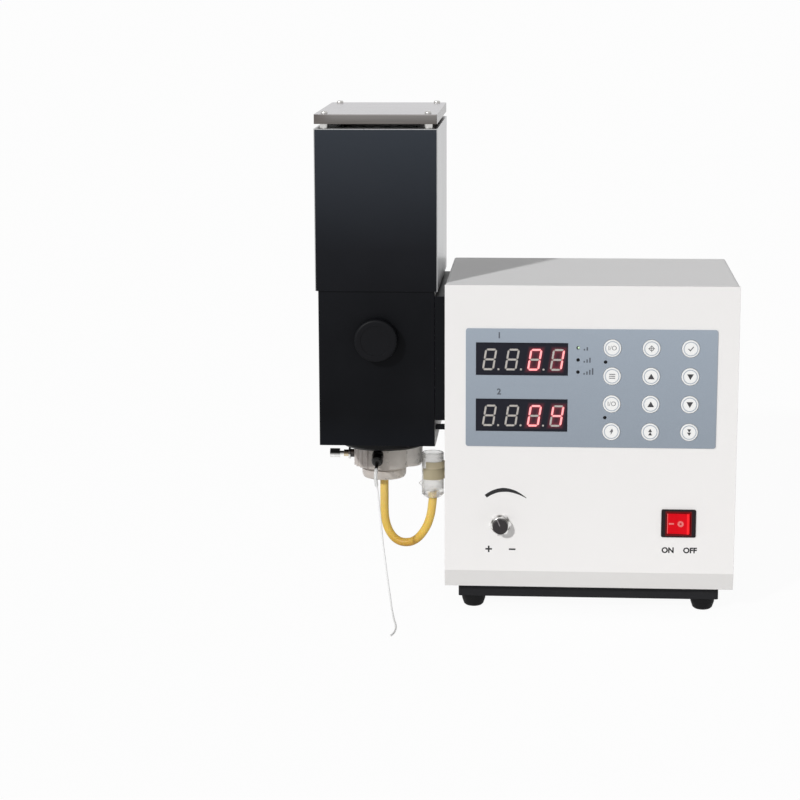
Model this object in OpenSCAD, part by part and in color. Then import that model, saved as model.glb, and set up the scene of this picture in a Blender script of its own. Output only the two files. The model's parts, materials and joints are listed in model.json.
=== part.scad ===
// Bench flame photometer: a sheet-metal cabinet with a keypad panel, and a burner
// tower that hangs on the cabinet's left side. The front faces -Y, +X is to the
// right and z = 0 is the bench. All sizes are in millimetres.

/* [Cabinet] */
// Width of the cabinet
body_w = 270; // [255:1:340]
// Height of the cabinet's box above its lower edge
body_h = 287; // [262:1:340]
// Depth of the cabinet
body_d = 190; // [175:1:260]
// Thickness of the cabinet's sheet steel
sheet_t = 1.5; // [1:0.1:2]
// Outside radius of the cabinet's long bends
bend_r = 2.5; // [2.2:0.1:4]
// Height of the band that is folded back along the foot of the front panel
lip_h = 16; // [8:1:20]
// How far that band leans back at its lower edge
lip_back = 3; // [0:0.5:5]
// How far the rear panel sits inside the rear edge of the cover
rear_set = 6; // [2:0.5:12]

/* [Base] */
// How far the base tray stands in from the cabinet's sides
tray_inset = 12.5; // [8:0.5:20]
// How far the base tray hangs below the cabinet
tray_drop = 12.5; // [8:0.5:20]
// Height of a rubber foot below the tray
foot_h = 12.5; // [8:0.5:16]
// Diameter of a foot at the tray
foot_d = 24; // [22:0.5:30]
// Diameter of the flat that a foot stands on
foot_tip_d = 13; // [8:0.5:15]
// Distance of a foot's centre from the cabinet's sides
foot_in_x = 26.5; // [26:0.5:45]
// Distance of a foot's centre from the cabinet's front and rear
foot_in_y = 26; // [26:0.5:45]

/* [Panel] */
// Width of the grey keypad plate
plate_w = 231; // [225:1:240]
// Height of the grey keypad plate
plate_h = 111; // [106:1:130]
// Thickness of the keypad plate
plate_t = 0.8; // [0.5:0.1:1.5]
// Corner radius of the keypad plate
plate_r = 2.4; // [1:0.1:6]
// Distance of the keypad plate from the cabinet's lower edge
plate_up = 136; // [128:1:140]
// Width of a display window
window_w = 84.6; // [82:0.2:88]
// Height of a display window
window_h = 30.4; // [27:0.2:34]
// Distance between the centres of the two displays
window_pitch = 52.8; // [46:0.2:60]
// Height of a lit digit
digit_h = 20.4; // [16:0.1:22]
// Width of a lit digit
digit_w = 11.2; // [9:0.1:13]
// Distance from digit to digit
digit_pitch = 20.8; // [18:0.1:21]
// Width of a segment of a digit
segment_w = 1.9; // [1.2:0.1:3]
// Slant of the digits, in degrees
digit_slant = 9; // [0:1:12]
// Diameter of a round key
key_d = 16.2; // [12:0.1:17]
// Distance between the columns of keys
key_col_pitch = 35.8; // [30:0.1:38]
// Distance between the rows of keys
key_row_pitch = 26.1; // [22:0.1:28]
// How far a key stands out of the plate
key_proud = 0.9; // [0.8:0.1:1.5]
// How far a key can be pressed
key_travel = 0.6; // [0.3:0.1:0.7]
// Diameter of an indicator lamp
lamp_d = 3; // [2:0.1:4]
// Distance between the three stacked indicator lamps
lamp_pitch = 11.3; // [8:0.1:13]

/* [Switch] */
// Width of the power switch's bezel
bezel_w = 32; // [31:0.1:36]
// Height of the power switch's bezel
bezel_h = 26.6; // [26:0.1:32]
// How far the bezel stands out of the panel
bezel_t = 2; // [1.5:0.1:3]
// Width of the rocker
rocker_w = 21.6; // [18:0.1:22]
// Height of the rocker
rocker_h = 19.2; // [16:0.1:19.4]
// Angle between the switch's two positions, in degrees
rocker_throw = 14; // [8:1:16]
// Height of the switch's centre above the cabinet's lower edge
switch_up = 64.3; // [55:0.5:80]
// Distance of the switch's centre from the cabinet's right side
switch_in = 52; // [40:0.5:70]

/* [Gas valve] */
// Distance of the valve's centre from the cabinet's left side
valve_in = 52.4; // [40:0.2:70]
// Height of the valve's centre above the cabinet's lower edge
valve_up = 61; // [50:0.5:80]
// Width across the flats of the panel nut
nut_af = 18; // [15:0.5:22]
// Thickness of the panel nut
nut_t = 3; // [2:0.1:5]
// Diameter of the knob's bright skirt
skirt_d = 16; // [15:0.1:17]
// Thickness of the knob's bright skirt
skirt_t = 2.4; // [1.5:0.1:4]
// Diameter of the knob's knurled cap
knob_d = 14.4; // [12:0.1:14.8]
// How far the knob's face stands out of the panel
knob_out = 11.5; // [9:0.5:20]
// Number of grooves round the knob
knob_grooves = 30; // [16:1:40]
// Diameter of the valve's spindle
spindle_d = 6; // [4:0.1:6.4]

/* [Tower] */
// Width of the upper cover of the tower
hood_w = 113; // [112:1:130]
// Depth of the upper cover of the tower
hood_d = 172; // [160:1:180]
// Height of the upper cover of the tower
hood_h = 149; // [120:1:180]
// Height of the bench to the upper cover's lower edge
hood_up = 305.5; // [296:0.5:330]
// Gap between the upper cover and the cabinet's side
tower_gap = 6.8; // [6.4:0.2:20]
// Thickness of the tower's sheet metal
tower_t = 1.5; // [1:0.1:1.8]
// How far the lower housing stands in from the upper cover, all round
housing_in = 2.2; // [2:0.1:5]
// Height of the lower housing's underside above the bench
housing_up = 159.5; // [156:0.5:166]
// How far the lower housing reaches up inside the upper cover
housing_lap = 24; // [12:1:40]
// Thickness of the black plate on the upper cover's front
front_plate_t = 1.2; // [0.8:0.1:2]
// How much of the bright sheet shows round the black plate
plate_reveal = 0.8; // [0.4:0.1:2]
// Clear gap between the upper cover and the lid's rim
lid_gap = 4.4; // [2:0.1:10]
// Height of the lid's folded rim
lid_rim = 8.8; // [6:0.1:16]
// Diameter of the pillars under the lid
pillar_d = 8; // [6:0.1:10]
// Distance of a pillar's centre from the cover's sides
pillar_in = 9; // [8:0.5:14]
// Diameter of the lid's screw heads
lid_screw_d = 6.4; // [5:0.1:8]

/* [Sight port] */
// Diameter of the port's cap
cap_d = 40; // [36:0.5:50]
// How far the cap stands out of the housing
cap_out = 14; // [8:0.5:18]
// Height of the port's centre above the bench
port_up = 261; // [240:0.5:270]
// Diameter of the hole behind the cap
port_d = 28; // [20:0.5:32]

/* [Burner] */
// Diameter of the black flange under the tower
flange_d = 84; // [76:0.5:90]
// Thickness of that flange
flange_t = 15; // [10:0.5:18]
// Diameter of the mixing chamber
chamber_d = 56; // [50:0.5:60]
// Height of the mixing chamber
chamber_h = 21; // [18:0.5:24]
// Wall thickness of the mixing chamber
chamber_t = 2.6; // [1.5:0.1:4]
// Distance of the side lobe's centre from the chamber's axis
lobe_off = 22; // [18:0.5:22]
// Diameter of the side lobe at its top
lobe_d = 31; // [28:0.5:31.5]
// Diameter of the drain base under the chamber
base_ring_d = 43; // [38:0.5:46]
// Height of the drain base
base_ring_h = 12.5; // [10:0.5:16]
// Diameter of the burner head
burner_d = 26; // [20:0.5:30]
// Height of the burner head's face above the housing's underside
burner_rise = 76; // [60:1:84]
// Outer diameter of the glass chimney
glass_d = 58; // [48:1:66]
// Height of the glass chimney
glass_h = 120; // [100:1:130]

/* [Nebuliser] */
// Diameter of the nebuliser's body
neb_d = 11; // [9:0.5:14]
// How far the nebuliser stands out of the chamber
neb_out = 15; // [12:0.5:18]
// How far the nebuliser's axis lies to the left of the chamber's axis
neb_left = 4; // [0:0.5:6]
// Diameter of the needle's knurled head
thumb_d = 8.8; // [7:0.1:11]
// Length of the needle's knurled head
thumb_l = 9.5; // [6:0.5:12]
// Diameter of the needle's shank
shank_d = 4; // [3:0.1:5]

/* [Drain] */
// Outer diameter of the drain cup
cup_d = 21.2; // [20:0.1:21.6]
// Height of the drain cup
cup_h = 44; // [36:0.5:50]
// Wall thickness of the drain cup
cup_t = 1.4; // [1:0.1:2]
// Height of the cup's rim above the bench
cup_up = 137.5; // [134:0.5:140]
// Outer diameter of the drain hose
hose_d = 8.2; // [8:0.1:8.4]
// Outer diameter of the sampling capillary
capillary_d = 1.8; // [1.6:0.1:2]

/* [Hidden] */
$fn = 64;

// Clearances
run_gap = 0.3;       // between a piece that moves and its neighbour
shaft_gap = 0.05;    // between a shaft and its bore, on the radius
hole_gap = 0.4;      // round a fixed piece that passes through a sheet, on the radius

// Cabinet levels; the bench is at z = 0 and the panel's outer face at y = 0
box_low = foot_h + tray_drop;
box_top = box_low + body_h;
rear_face = body_d - rear_set;
chassis_front = sheet_t + lip_back;
body_inner_r = max(bend_r - sheet_t, 0.2);
inner_w = body_w - 2 * sheet_t;

// Screws of the rear panel and of the cover's sides
panel_head_d = 6;
panel_head_t = 1.8;
panel_shank_d = 3;
rear_screw_in = 14;
rear_screw_xs = [rear_screw_in, body_w / 2, body_w - rear_screw_in];
rear_screw_zs = [box_low + rear_screw_in, box_top - rear_screw_in];
side_screw_z = box_low + 12;
side_screw_ys = [40, body_d - 40];

// Keypad plate and what shows in it
plate_x = (body_w - plate_w) / 2;
plate_low = box_low + plate_up;
plate_top = plate_low + plate_h;
window_margin = 9.5;
window_drop = 28.4;
window_fit = 0.3;
window_x = plate_x + window_margin + window_w / 2;
window_zs = [plate_top - window_drop, plate_top - window_drop - window_pitch];
key_margin = 24.6;
key_drop = 17.5;
key_cols = 3;
key_rows = 4;
key_rim = 1.4;
key_flange_t = 1;
key_stem_d = 4;
board_y = 8;
board_t = 1.6;
board_margin = 3;
dome_size = 6;
dome_t = 2;
spacer_d = 6;
spacer_in = 7;
lamp_off = 9.3;
lamp_x = window_x + window_w / 2 + lamp_off;
lamp_clear = 3;
key_room = plate_x + plate_w - key_margin - lamp_x - lamp_d / 2 - lamp_clear - key_d / 2 - key_rim;
key_step = min(key_col_pitch, key_room / (key_cols - 1));
lamp_proud = 0.4;
status_off = 6.1;
face_set = 0.4;
segment_t = 0.15;
segment_gap = 0.3;
dot_d = 2;
dots_per_line = 3;
display_border = 1.5;
digit_sink = 0.6;
digit_shift_most = 2.4;
digit_half = 1.5 * digit_pitch + digit_w / 2 - dot_d / 2 + digit_h / 2 * tan(digit_slant);
digit_room = window_w / 2 - display_border - segment_gap - digit_half;
digit_shift = max(0, min(digit_shift_most, digit_room));
display_face = face_set - plate_t;
ZERO = [0, 1, 2, 3, 4, 5];
ONE = [1, 2];
FOUR = [1, 2, 5, 6];
BLANK = [];
readings = [[BLANK, BLANK, ZERO, ONE], [BLANK, BLANK, ZERO, FOUR]];

// Power switch
switch_x = body_w - switch_in;
switch_z = box_low + switch_up;
bezel_lip = 1.8;
bezel_r = 1.5;
bezel_step = 0.8;
switch_w = bezel_w - 2 * bezel_lip;
switch_h = bezel_h - 2 * bezel_lip;
switch_depth = 20;
pocket_depth = 11;
pivot_y = 1;
pivot_d = 3;
pivot_l = 1.2;
rocker_tip = 4.4;
rocker_dip = 3.4;
rocker_back = 3;
pocket_w = rocker_w + 2 * hole_gap;
pocket_h = rocker_h + 2 * run_gap;
blade_w = 4.8;
blade_t = 0.8;
blade_l = 7;
blade_pitch = 7;

// Gas valve; its axis runs along Y
valve_x = valve_in;
valve_z = box_low + valve_up;
bush_d = 10;
valve_block = 24;
valve_hub_l = 4;
valve_tail_l = 14;
nut_turn = 5;
spindle_in = 16;
cap_start = nut_t + run_gap + skirt_t;
groove_d = 0.9;
pointer_w = 1;
pointer_t = 0.4;
pointer_rest = 23;

// Pieces inside the cabinet
core_w = 70;
core_h = 58;
core_d = 38;
core_foot = 8;
core_foot_t = 2;
coil_out = 9;
coil_in = 8;
coil_r = 6;
transformer_in = 80;
transformer_x = body_w - transformer_in;
transformer_back = 62;
transformer_y = rear_face - transformer_back;
card_x = 60;
card_y = 70;
card_w = 90;
card_d = 88;
card_up = 10;
sink_in = 10;
sink_w = 40;
sink_d = 14;
sink_h = 25;
sink_wall = 3;
sink_fins = 5;
capacitor_d = 12;
capacitor_h = 22;
capacitor_pitch = 16;
chip_w = 24;
chip_t = 3;
detector_w = 70;
detector_d = 64;
detector_h = 76;
snout_d = 28;
snout_wall = 2;
snout_bore = snout_d - 2 * snout_wall;

// Rear fittings; their axes run along Y
inlet_in = 52;
inlet_x = body_w - inlet_in;
inlet_up = 46;
inlet_z = box_low + inlet_up;
inlet_w = 27.4;
inlet_h = 20;
inlet_flange_w = 50;
inlet_flange_h = 24;
inlet_flange_t = 3;
inlet_flange_r = 5;
inlet_hole_x = 20;
inlet_hole_d = 3.4;
inlet_depth = 22;
socket_w = 24.4;
socket_h = 16.8;
socket_deep = 18;
pin_w = 4;
pin_t = 2;
pin_set = 5;
pin_pitch = 7;
fuse_in = 100;
fuse_x = body_w - fuse_in;
fuse_cap_d = 16;
fuse_cap_t = 9;
fuse_body_d = 12.6;
fuse_body_l = 24;
barb_xs = [44, 80];
barb_up = 50;
barb_z = box_low + barb_up;
barb_d = 8;
barb_l = 22;
barb_bore = 4.5;
barb_nut_af = 17;
barb_nut_t = 5;
barb_stem_d = 10;
barb_stem_l = 9;
vent_count = 9;
vent_w = 3;
vent_l = 44;
vent_pitch = 8;
vent_off = 66;
vent_drop = 74;
vent_x = body_w / 2 - vent_off;
vent_z = box_top - vent_drop;

// Tower, left of the cabinet
hood_right = -tower_gap;
hood_left = hood_right - hood_w;
hood_top = hood_up + hood_h;
hood_r = 1.8;
hood_flange = 18;
front_plate_r = 0.6;
housing_left = hood_left + housing_in;
housing_right = hood_right - housing_in;
housing_w = hood_w - 2 * housing_in;
housing_d = hood_d - 2 * housing_in;
housing_top = hood_up + housing_lap;
housing_floor = housing_up + tower_t;
tower_x = (hood_left + hood_right) / 2;
tower_y = hood_d / 2;
lid_t = 1.2;
lid_in = 0.3;
lid_r = 1.2;
lid_w = hood_w - 2 * lid_in;
lid_d = hood_d - 2 * lid_in;
lid_low = hood_top + lid_gap;
lid_top = lid_low + lid_rim;
screw_shank_d = 4;
lid_bore = screw_shank_d + 2 * shaft_gap;
lid_screw_h = 2.2;
lid_nut_af = 7;
lid_nut_t = 3.2;
pillar_xs = [hood_left + pillar_in, hood_right - pillar_in];
pillar_ys = [pillar_in + 1, hood_d - pillar_in - 1];

// Sight port, on the flame's axis
cap_round = 2.5;
spigot_l = 8;
cap_dish_d = 0.7 * cap_d;
cap_dish = 0.5;

// Light path from the flame to the detector
duct_low = 184.5;
duct_top = box_top - 11;
duct_front = housing_in;
duct_d = housing_d;
window_d = snout_d + 2 * hole_gap;
bar_up = 174.5;
bar_t = 3.8;
bar_w = 8;
bar_in = 8;

// Burner
flange_low = housing_up - flange_t;
flange_chamfer = 2;
chamber_low = flange_low - chamber_h;
chamber_top = flange_low;
chamber_floor = 2.5;
lobe_taper = 1.5;
lobe_bevel = 3;
rib_d = 3;
rib_count = 4;
rib_step = 14.5;
rib_from = 194;
base_low = chamber_low - base_ring_h;
base_groove = 3;
base_step = 1;
base_bowl = 8;
base_round = 2;
bowl_d = base_ring_d - 4 * chamber_t;
drain_d = 3;
stem_d = 18;
stem_bore = 13;
stem_low = flange_low - 3;
collar_d = 30;
collar_t = 3;
burner_top = housing_up + burner_rise;
head_h = 12;
jet_d = 1.6;
jet_count = 12;
jet_ring_d = stem_bore - 2 * jet_d;
glass_t = 2;

// Nebuliser, tilted forward and down out of the chamber's wall
neb_tilt = 25;
neb_z = chamber_top - 6;
neb_y = tower_y - chamber_d / 2 + chamber_t / 2;
neb_x = tower_x - neb_left;
spigot_d = 7;
spigot_in = 4;
neb_flange_t = 4;
neb_neck = 0.8;
tip_d = 3.4;
tip_l = 9;

// Needle, level and to the left of the chamber
needle_z = chamber_top - 11;
wall_x = tower_x - chamber_d / 2;
gland_d = 8;
gland_l = 4.7;
washer_d = 11.4;
washer_l = 1.8;
lock_d = 6.6;
lock_l = 4.8;
needle_reach = 4;
needle_cone = 3;
thumb_gap = 3.9;
gland_reach = gland_l + washer_l + lock_l;
thumb_start = wall_x - gland_reach - thumb_gap;
thumb_grooves = 24;

// Drain cup on the cabinet's side
cup_x = -15.4;
cup_gap = 1.66;
cup_apart = (lobe_d + cup_d) / 2 + cup_gap;
cup_right = cup_x - tower_x - lobe_off;
cup_forward = sqrt(max(cup_apart * cup_apart - cup_right * cup_right, 0));
cup_y = tower_y - cup_forward;
cup_low = cup_up - cup_h;
cup_floor = 8;
cup_socket = 6;
cup_drain_d = 4;
cup_chamfer = 3;
rim_bead = 4;
lug_out = 3;
lug_h = 7;
lug_up = 9.5;
lug_t = 3;
clip_low = cup_low + 18.7;
clip_band = 10.8;
clip_tab = 6.6;
clip_front = 223;
clip_back = 60;
tab_front = 239;
clip_t = 1.2;
clip_gap = 0.1;
clip_arm_d = 9;

// Nipple inside the top of the hose
nipple_d = 4.6;
nipple_l = 9;

// Routes of the two soft lines, from the cabinet's lower left corner on the bench. The
// hose's points keep to the chamber's axis at the start and to the cup's axis at the end.
hose_from = [-63.3, 86, 0];
hose_to = [-15.4, 76, 0];
hose_points = [
    [-63.3, 86, 101.5], [-63.3, 86, 89.5], [-63.3, 86, 77.5], [-62.7, 86, 68.9], [-60.8, 86, 60.8],
    [-57.7, 85.7, 54], [-53.4, 84.7, 48.9], [-48.1, 83.4, 46], [-42.2, 81.8, 45.4], [-35.9, 80.2, 46.9],
    [-29.8, 78.6, 51.2], [-24.6, 77.3, 57.8], [-20.3, 76.3, 66], [-17.4, 76, 75.6], [-16.1, 76, 84.8],
    [-15.4, 76, 91.8]
];
hose_straight = 2;
hose_route = [
    for (i = [0:len(hose_points) - 1])
        let (t = (i - hose_straight) / (len(hose_points) - 1 - 2 * hose_straight), s = min(max(t, 0), 1))
        hose_points[i] + (1 - s) * ([tower_x, tower_y, 0] - hose_from) + s * ([cup_x, cup_y, 0] - hose_to)
];
capillary_route = [
    [-67.6, 32.5, 123], [-67, 32, 116.9], [-65.5, 31.5, 108.3], [-63, 29, 85], [-60.5, 24, 61.7],
    [-57.5, 17.6, 42.5], [-54, 7.1, 23.8], [-51.5, -2, 13.1], [-49.5, -11.4, 6.1], [-47.5, -21.1, 2.4],
    [-46, -31, 1.1], [-44, -42, 1], [-42.7, -52, 1], [-42.2, -63, 1], [-43.2, -74, 1],
    [-45.5, -83, 1]
];
lead_out = 3;
hose_sides = 12;
capillary_sides = 8;

// Origin: under the middle of the object, on the bench
front_reach = max(cap_out - housing_in, knob_out);
rear_reach = rear_face + barb_l;
mid_x = (hood_left + body_w + panel_head_t) / 2;
mid_y = (rear_reach - front_reach) / 2;

CABINET_WHITE = [0.92, 0.92, 0.91];
COVER_GREY = [0.70, 0.69, 0.69];
BLACK = [0.09, 0.09, 0.10];
TOWER_BLACK = [0.12, 0.13, 0.15];
STEEL = [0.76, 0.75, 0.74];
BRASS = [0.78, 0.62, 0.35];
PLATE_BLUE = [0.58, 0.64, 0.72];
SMOKY = [0.62, 0.56, 0.54, 0.7];
CLEAR = [0.85, 0.87, 0.86, 0.5];
BOARD_GREEN = [0.08, 0.35, 0.20];

// ---------------------------------------------------------------- helpers

// Moves a piece from the cabinet's lower left front corner to the object's origin
module placed() {
    translate([-mid_x, -mid_y, 0]) children();
}

// Extrudes a front-view outline (x, z) backwards from y over a thickness
module facing(y, thickness) {
    translate([0, y + thickness, 0]) rotate([90, 0, 0]) linear_extrude(thickness) children();
}

// Extrudes a side-view outline (y, z) to the right from x over a width
module across(x, width) {
    translate([x, 0, 0]) rotate([90, 0, 90]) linear_extrude(width) children();
}

// A round bar along Y from y over a length
module bar_y(x, y, z, d, length) {
    translate([x, y, z]) rotate([-90, 0, 0]) cylinder(d = d, h = length);
}

// A round bar along X from x over a length
module bar_x(x, y, z, d, length) {
    translate([x, y, z]) rotate([0, 90, 0]) cylinder(d = d, h = length);
}

// A rectangle with round corners, from its lower left corner
module round_rect(w, h, r) {
    translate([r, 0]) square([w - 2 * r, h]);
    translate([0, r]) square([w, h - 2 * r]);
    for (x = [r, w - r], y = [r, h - r]) {
        translate([x, y]) circle(r, $fn = 32);
    }
}

// A hexagon by its size across the flats, flats up and down
module hexagon(af) {
    circle(d = af / cos(30), $fn = 6);
}

// V-shaped grooves round a circle, to be cut from it
module knurl(d, count, groove) {
    for (i = [0:count - 1]) {
        rotate(i * 360 / count) translate([d / 2 + 0.12 * groove, 0]) circle(d = groove, $fn = 4);
    }
}

// A pan-head screw that points along -Z from its seat at the origin
module pan_screw(head_d, head_h, shank_d, shank_l) {
    rotate_extrude() polygon([
        [0, -shank_l], [shank_d / 2, -shank_l], [shank_d / 2, 0], [head_d / 2, 0],
        [head_d / 2, 0.45 * head_h], [0.38 * head_d, 0.85 * head_h], [0.2 * head_d, head_h],
        [0, head_h]
    ]);
}

// ---------------------------------------------------------------- cabinet

// Side outline of the front panel, with its leaning foot band
module panel_outline() {
    polygon([
        [0, box_top], [sheet_t, box_top], [sheet_t, box_low + lip_h],
        [sheet_t + lip_back, box_low], [lip_back, box_low], [0, box_low + lip_h]
    ]);
}

module front_panel() {
    color(CABINET_WHITE) placed() difference() {
        across(0, body_w) panel_outline();
        facing(-1, sheet_t + 2) {
            for (z = window_zs) {
                translate([window_x, z]) window_hole(2 * window_fit);
            }
            for (col = [0:key_cols - 1], row = [0:key_rows - 1]) {
                translate([key_x(col), key_z(row)]) circle(d = key_d + 2 * run_gap);
            }
            for (at = lamp_places()) {
                translate(at) circle(d = lamp_d + 2 * window_fit, $fn = 32);
            }
            translate([switch_x, switch_z])
                square([switch_w + window_fit, switch_h + window_fit], center = true);
        }
        bar_y(valve_x, -1, valve_z, bush_d + 2 * hole_gap, sheet_t + 2);
    }
}

// The wrap-round cover: top and both sides in one bent sheet
module cabinet_cover() {
    color(COVER_GREY) placed() difference() {
        facing(sheet_t, body_d - sheet_t) difference() {
            union() {
                translate([0, box_low]) square([body_w, body_h - bend_r]);
                translate([0, box_low + bend_r]) round_rect(body_w, body_h - bend_r, bend_r);
            }
            union() {
                translate([sheet_t, box_low - 1]) square([inner_w, body_h - bend_r + 1]);
                translate([sheet_t, box_low + bend_r])
                    round_rect(inner_w, body_h - bend_r - sheet_t, body_inner_r);
            }
        }
        across(-1, body_w + 2) polygon([
            [0, box_low + lip_h], [sheet_t, box_low + lip_h], [sheet_t + lip_back, box_low],
            [sheet_t + lip_back, box_low - 1], [0, box_low - 1]
        ]);
        bar_x(-1, tower_y, port_up, window_d, sheet_t + 2);
        for (y = side_screw_ys) {
            bar_x(-1, y, side_screw_z, panel_shank_d + 2 * shaft_gap, body_w + 2);
        }
    }
}

// Back wall with air slots and the holes for its fittings
module rear_panel() {
    color(COVER_GREY) placed() difference() {
        facing(rear_face - sheet_t, sheet_t) {
            translate([sheet_t, box_low]) square([inner_w, body_h - sheet_t - body_inner_r]);
            translate([bend_r, box_low]) square([body_w - 2 * bend_r, body_h - sheet_t]);
        }
        facing(rear_face - sheet_t - 1, sheet_t + 2) {
            for (i = [0:vent_count - 1], x = [vent_x, body_w - vent_x]) {
                translate([x, vent_z + (i - (vent_count - 1) / 2) * vent_pitch]) vent_slot();
            }
            translate([inlet_x, inlet_z]) square([inlet_w + window_fit, inlet_h + window_fit], center = true);
        }
        bar_y(fuse_x, rear_face - sheet_t - 1, inlet_z, fuse_body_d + 2 * hole_gap, sheet_t + 2);
        for (x = rear_screw_xs, z = rear_screw_zs) {
            bar_y(x, rear_face - sheet_t - 1, z, panel_shank_d + 2 * shaft_gap, sheet_t + 2);
        }
        for (x = barb_xs) {
            bar_y(x, rear_face - sheet_t - 1, barb_z, barb_stem_d + 2 * hole_gap, sheet_t + 2);
        }
    }
}

module vent_slot() {
    square([vent_l - vent_w, vent_w], center = true);
    for (side = [-1, 1]) {
        translate([side * (vent_l - vent_w) / 2, 0]) circle(d = vent_w, $fn = 24);
    }
}

// Floor of the cabinet, which carries the transformer and the main board
module chassis_plate() {
    color(STEEL) placed()
        translate([sheet_t, chassis_front, box_low])
            cube([inner_w, rear_face - sheet_t - chassis_front, sheet_t]);
}

// Shallow pan under the cabinet
module base_tray() {
    color(BLACK) placed() difference() {
        tray_block(tray_inset, 0, bend_r);
        tray_block(tray_inset + sheet_t, sheet_t, body_inner_r);
    }
}

// A block in from the cabinet's sides by inset, that starts above the tray's underside by up
module tray_block(inset, up, r) {
    translate([inset, inset, foot_h + up]) linear_extrude(tray_drop)
        round_rect(body_w - 2 * inset, body_d - 2 * inset, r);
}

// Four rounded rubber feet with a recess for their screws
module feet() {
    color(BLACK) placed()
        for (x = [foot_in_x, body_w - foot_in_x], y = [foot_in_y, body_d - foot_in_y]) {
            translate([x, y, 0]) rotate_extrude() polygon([
                [2, 0], [foot_tip_d / 2 - 0.6, 0], [foot_tip_d / 2 + 1.2, 0.6], [foot_tip_d / 2 + 2.8, 2],
                [foot_d / 2 - 1, 0.55 * foot_h], [foot_d / 2 - 0.4, foot_h - 2],
                [foot_d / 2, foot_h - 1], [foot_d / 2, foot_h], [0, foot_h], [0, 3], [2, 3]
            ]);
        }
}

// Screws of the rear panel and of the cover's sides
module panel_screws() {
    color(STEEL) placed() {
        for (x = rear_screw_xs, z = rear_screw_zs) {
            translate([x, rear_face, z]) rotate([-90, 0, 0]) panel_screw();
        }
        for (y = side_screw_ys) {
            translate([body_w, y, side_screw_z]) rotate([0, 90, 0]) panel_screw();
            translate([0, y, side_screw_z]) rotate([0, -90, 0]) panel_screw();
        }
    }
}

module panel_screw() {
    pan_screw(panel_head_d, panel_head_t, panel_shank_d, sheet_t + 3);
}

// ---------------------------------------------------------------- keypad panel

// Centre of a key, by its column from the left and its row from the top
function key_x(col) = plate_x + plate_w - key_margin - (key_cols - 1 - col) * key_step;
function key_z(row) = plate_top - key_drop - row * key_row_pitch;

// Centres of the three stacked lamps and the two status lamps
function lamp_places() = concat(
    [for (i = [0:2]) [lamp_x, key_z(0) - i * lamp_pitch]],
    [for (row = [0, 2]) [key_x(0) - status_off, (key_z(row) + key_z(row + 1)) / 2]]
);

// Hole round a display, wider than its window by extra in all
module window_hole(extra) {
    square([window_w + extra, window_h + extra], center = true);
}

// Grey plate over the front panel, cut out for the displays, lamps and keys
module keypad_plate() {
    color(PLATE_BLUE) placed() facing(-plate_t, plate_t) difference() {
        translate([plate_x, plate_low]) round_rect(plate_w, plate_h, plate_r);
        for (z = window_zs) {
            translate([window_x, z]) window_hole(window_fit);
        }
        for (col = [0:key_cols - 1], row = [0:key_rows - 1]) {
            translate([key_x(col), key_z(row)]) circle(d = key_d + 2 * run_gap);
        }
        for (at = lamp_places()) {
            translate(at) circle(d = lamp_d + window_fit, $fn = 32);
        }
    }
}

// Circuit board behind the panel, with its spacers and a dome switch under each key
module panel_board() {
    color(BOARD_GREEN) placed() {
        facing(board_y, board_t) translate([plate_x + board_margin, plate_low + board_margin])
            square([plate_w - 2 * board_margin, plate_h - 2 * board_margin]);
        for (col = [0:key_cols - 1], row = [0:key_rows - 1]) {
            facing(board_y - dome_t, dome_t)
                translate([key_x(col), key_z(row)]) square(dome_size, center = true);
        }
        for (x = spacer_xs(), z = [plate_low + spacer_in, plate_top - spacer_in]) {
            bar_y(x, sheet_t, z, spacer_d, board_y - sheet_t);
        }
    }
}

function spacer_xs() = [
    plate_x + spacer_in, (window_x + window_w / 2 + key_x(0)) / 2, plate_x + plate_w - spacer_in
];

// One round key: face, retaining flange and the stem that presses its dome switch
module key(col, row) {
    face = -plate_t - key_proud;
    seat = sheet_t + run_gap;
    stem_end = board_y - dome_t - key_travel - 0.1;
    color("white") placed() translate([key_x(col), 0, key_z(row)]) rotate([-90, 0, 0])
        rotate_extrude() polygon([
            [0, face], [key_d / 2 - 0.4, face], [key_d / 2, face + 0.4], [key_d / 2, seat],
            [key_d / 2 + key_rim, seat], [key_d / 2 + key_rim, seat + key_flange_t],
            [key_stem_d / 2, seat + key_flange_t], [key_stem_d / 2, stem_end], [0, stem_end]
        ]);
}

// Black body of one four-digit display, with a shallow pocket in its face
module display(index) {
    color(BLACK) placed() difference() {
        facing(display_face, board_y - display_face) translate([window_x, window_zs[index]])
            square([window_w, window_h], center = true);
        facing(display_face - 1, 1 + face_set / 2) translate([window_x, window_zs[index]])
            square([window_w - 2 * display_border, window_h - 2 * display_border], center = true);
    }
}

// Centre of bar i of a digit whose lower left corner is the origin
function bar_centre(i) = [
    [digit_w / 2, digit_h - segment_w / 2],
    [digit_w - segment_w / 2, 0.75 * digit_h - segment_w / 4],
    [digit_w - segment_w / 2, 0.25 * digit_h + segment_w / 4],
    [digit_w / 2, segment_w / 2],
    [segment_w / 2, 0.25 * digit_h + segment_w / 4],
    [segment_w / 2, 0.75 * digit_h - segment_w / 4],
    [digit_w / 2, digit_h / 2]
][i];
function bar_upright(i) = [false, true, true, false, true, true, false][i];
function bar_length(i) =
    (bar_upright(i) ? digit_h / 2 - segment_w / 2 : digit_w - segment_w) - 2 * segment_gap;

// Pointed outline of a bar along X about its centre
function bar_outline(l, w) = [
    [-l / 2, 0], [(w - l) / 2, w / 2], [(l - w) / 2, w / 2],
    [l / 2, 0], [(l - w) / 2, -w / 2], [(w - l) / 2, -w / 2]
];
function slanted(p) = [p[0] + (p[1] - digit_h / 2) * tan(digit_slant), p[1]];
function bar_points(i) = [
    for (p = bar_outline(bar_length(i), segment_w))
        slanted(bar_centre(i) + (bar_upright(i) ? [p[1], p[0]] : p))
];

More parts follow.
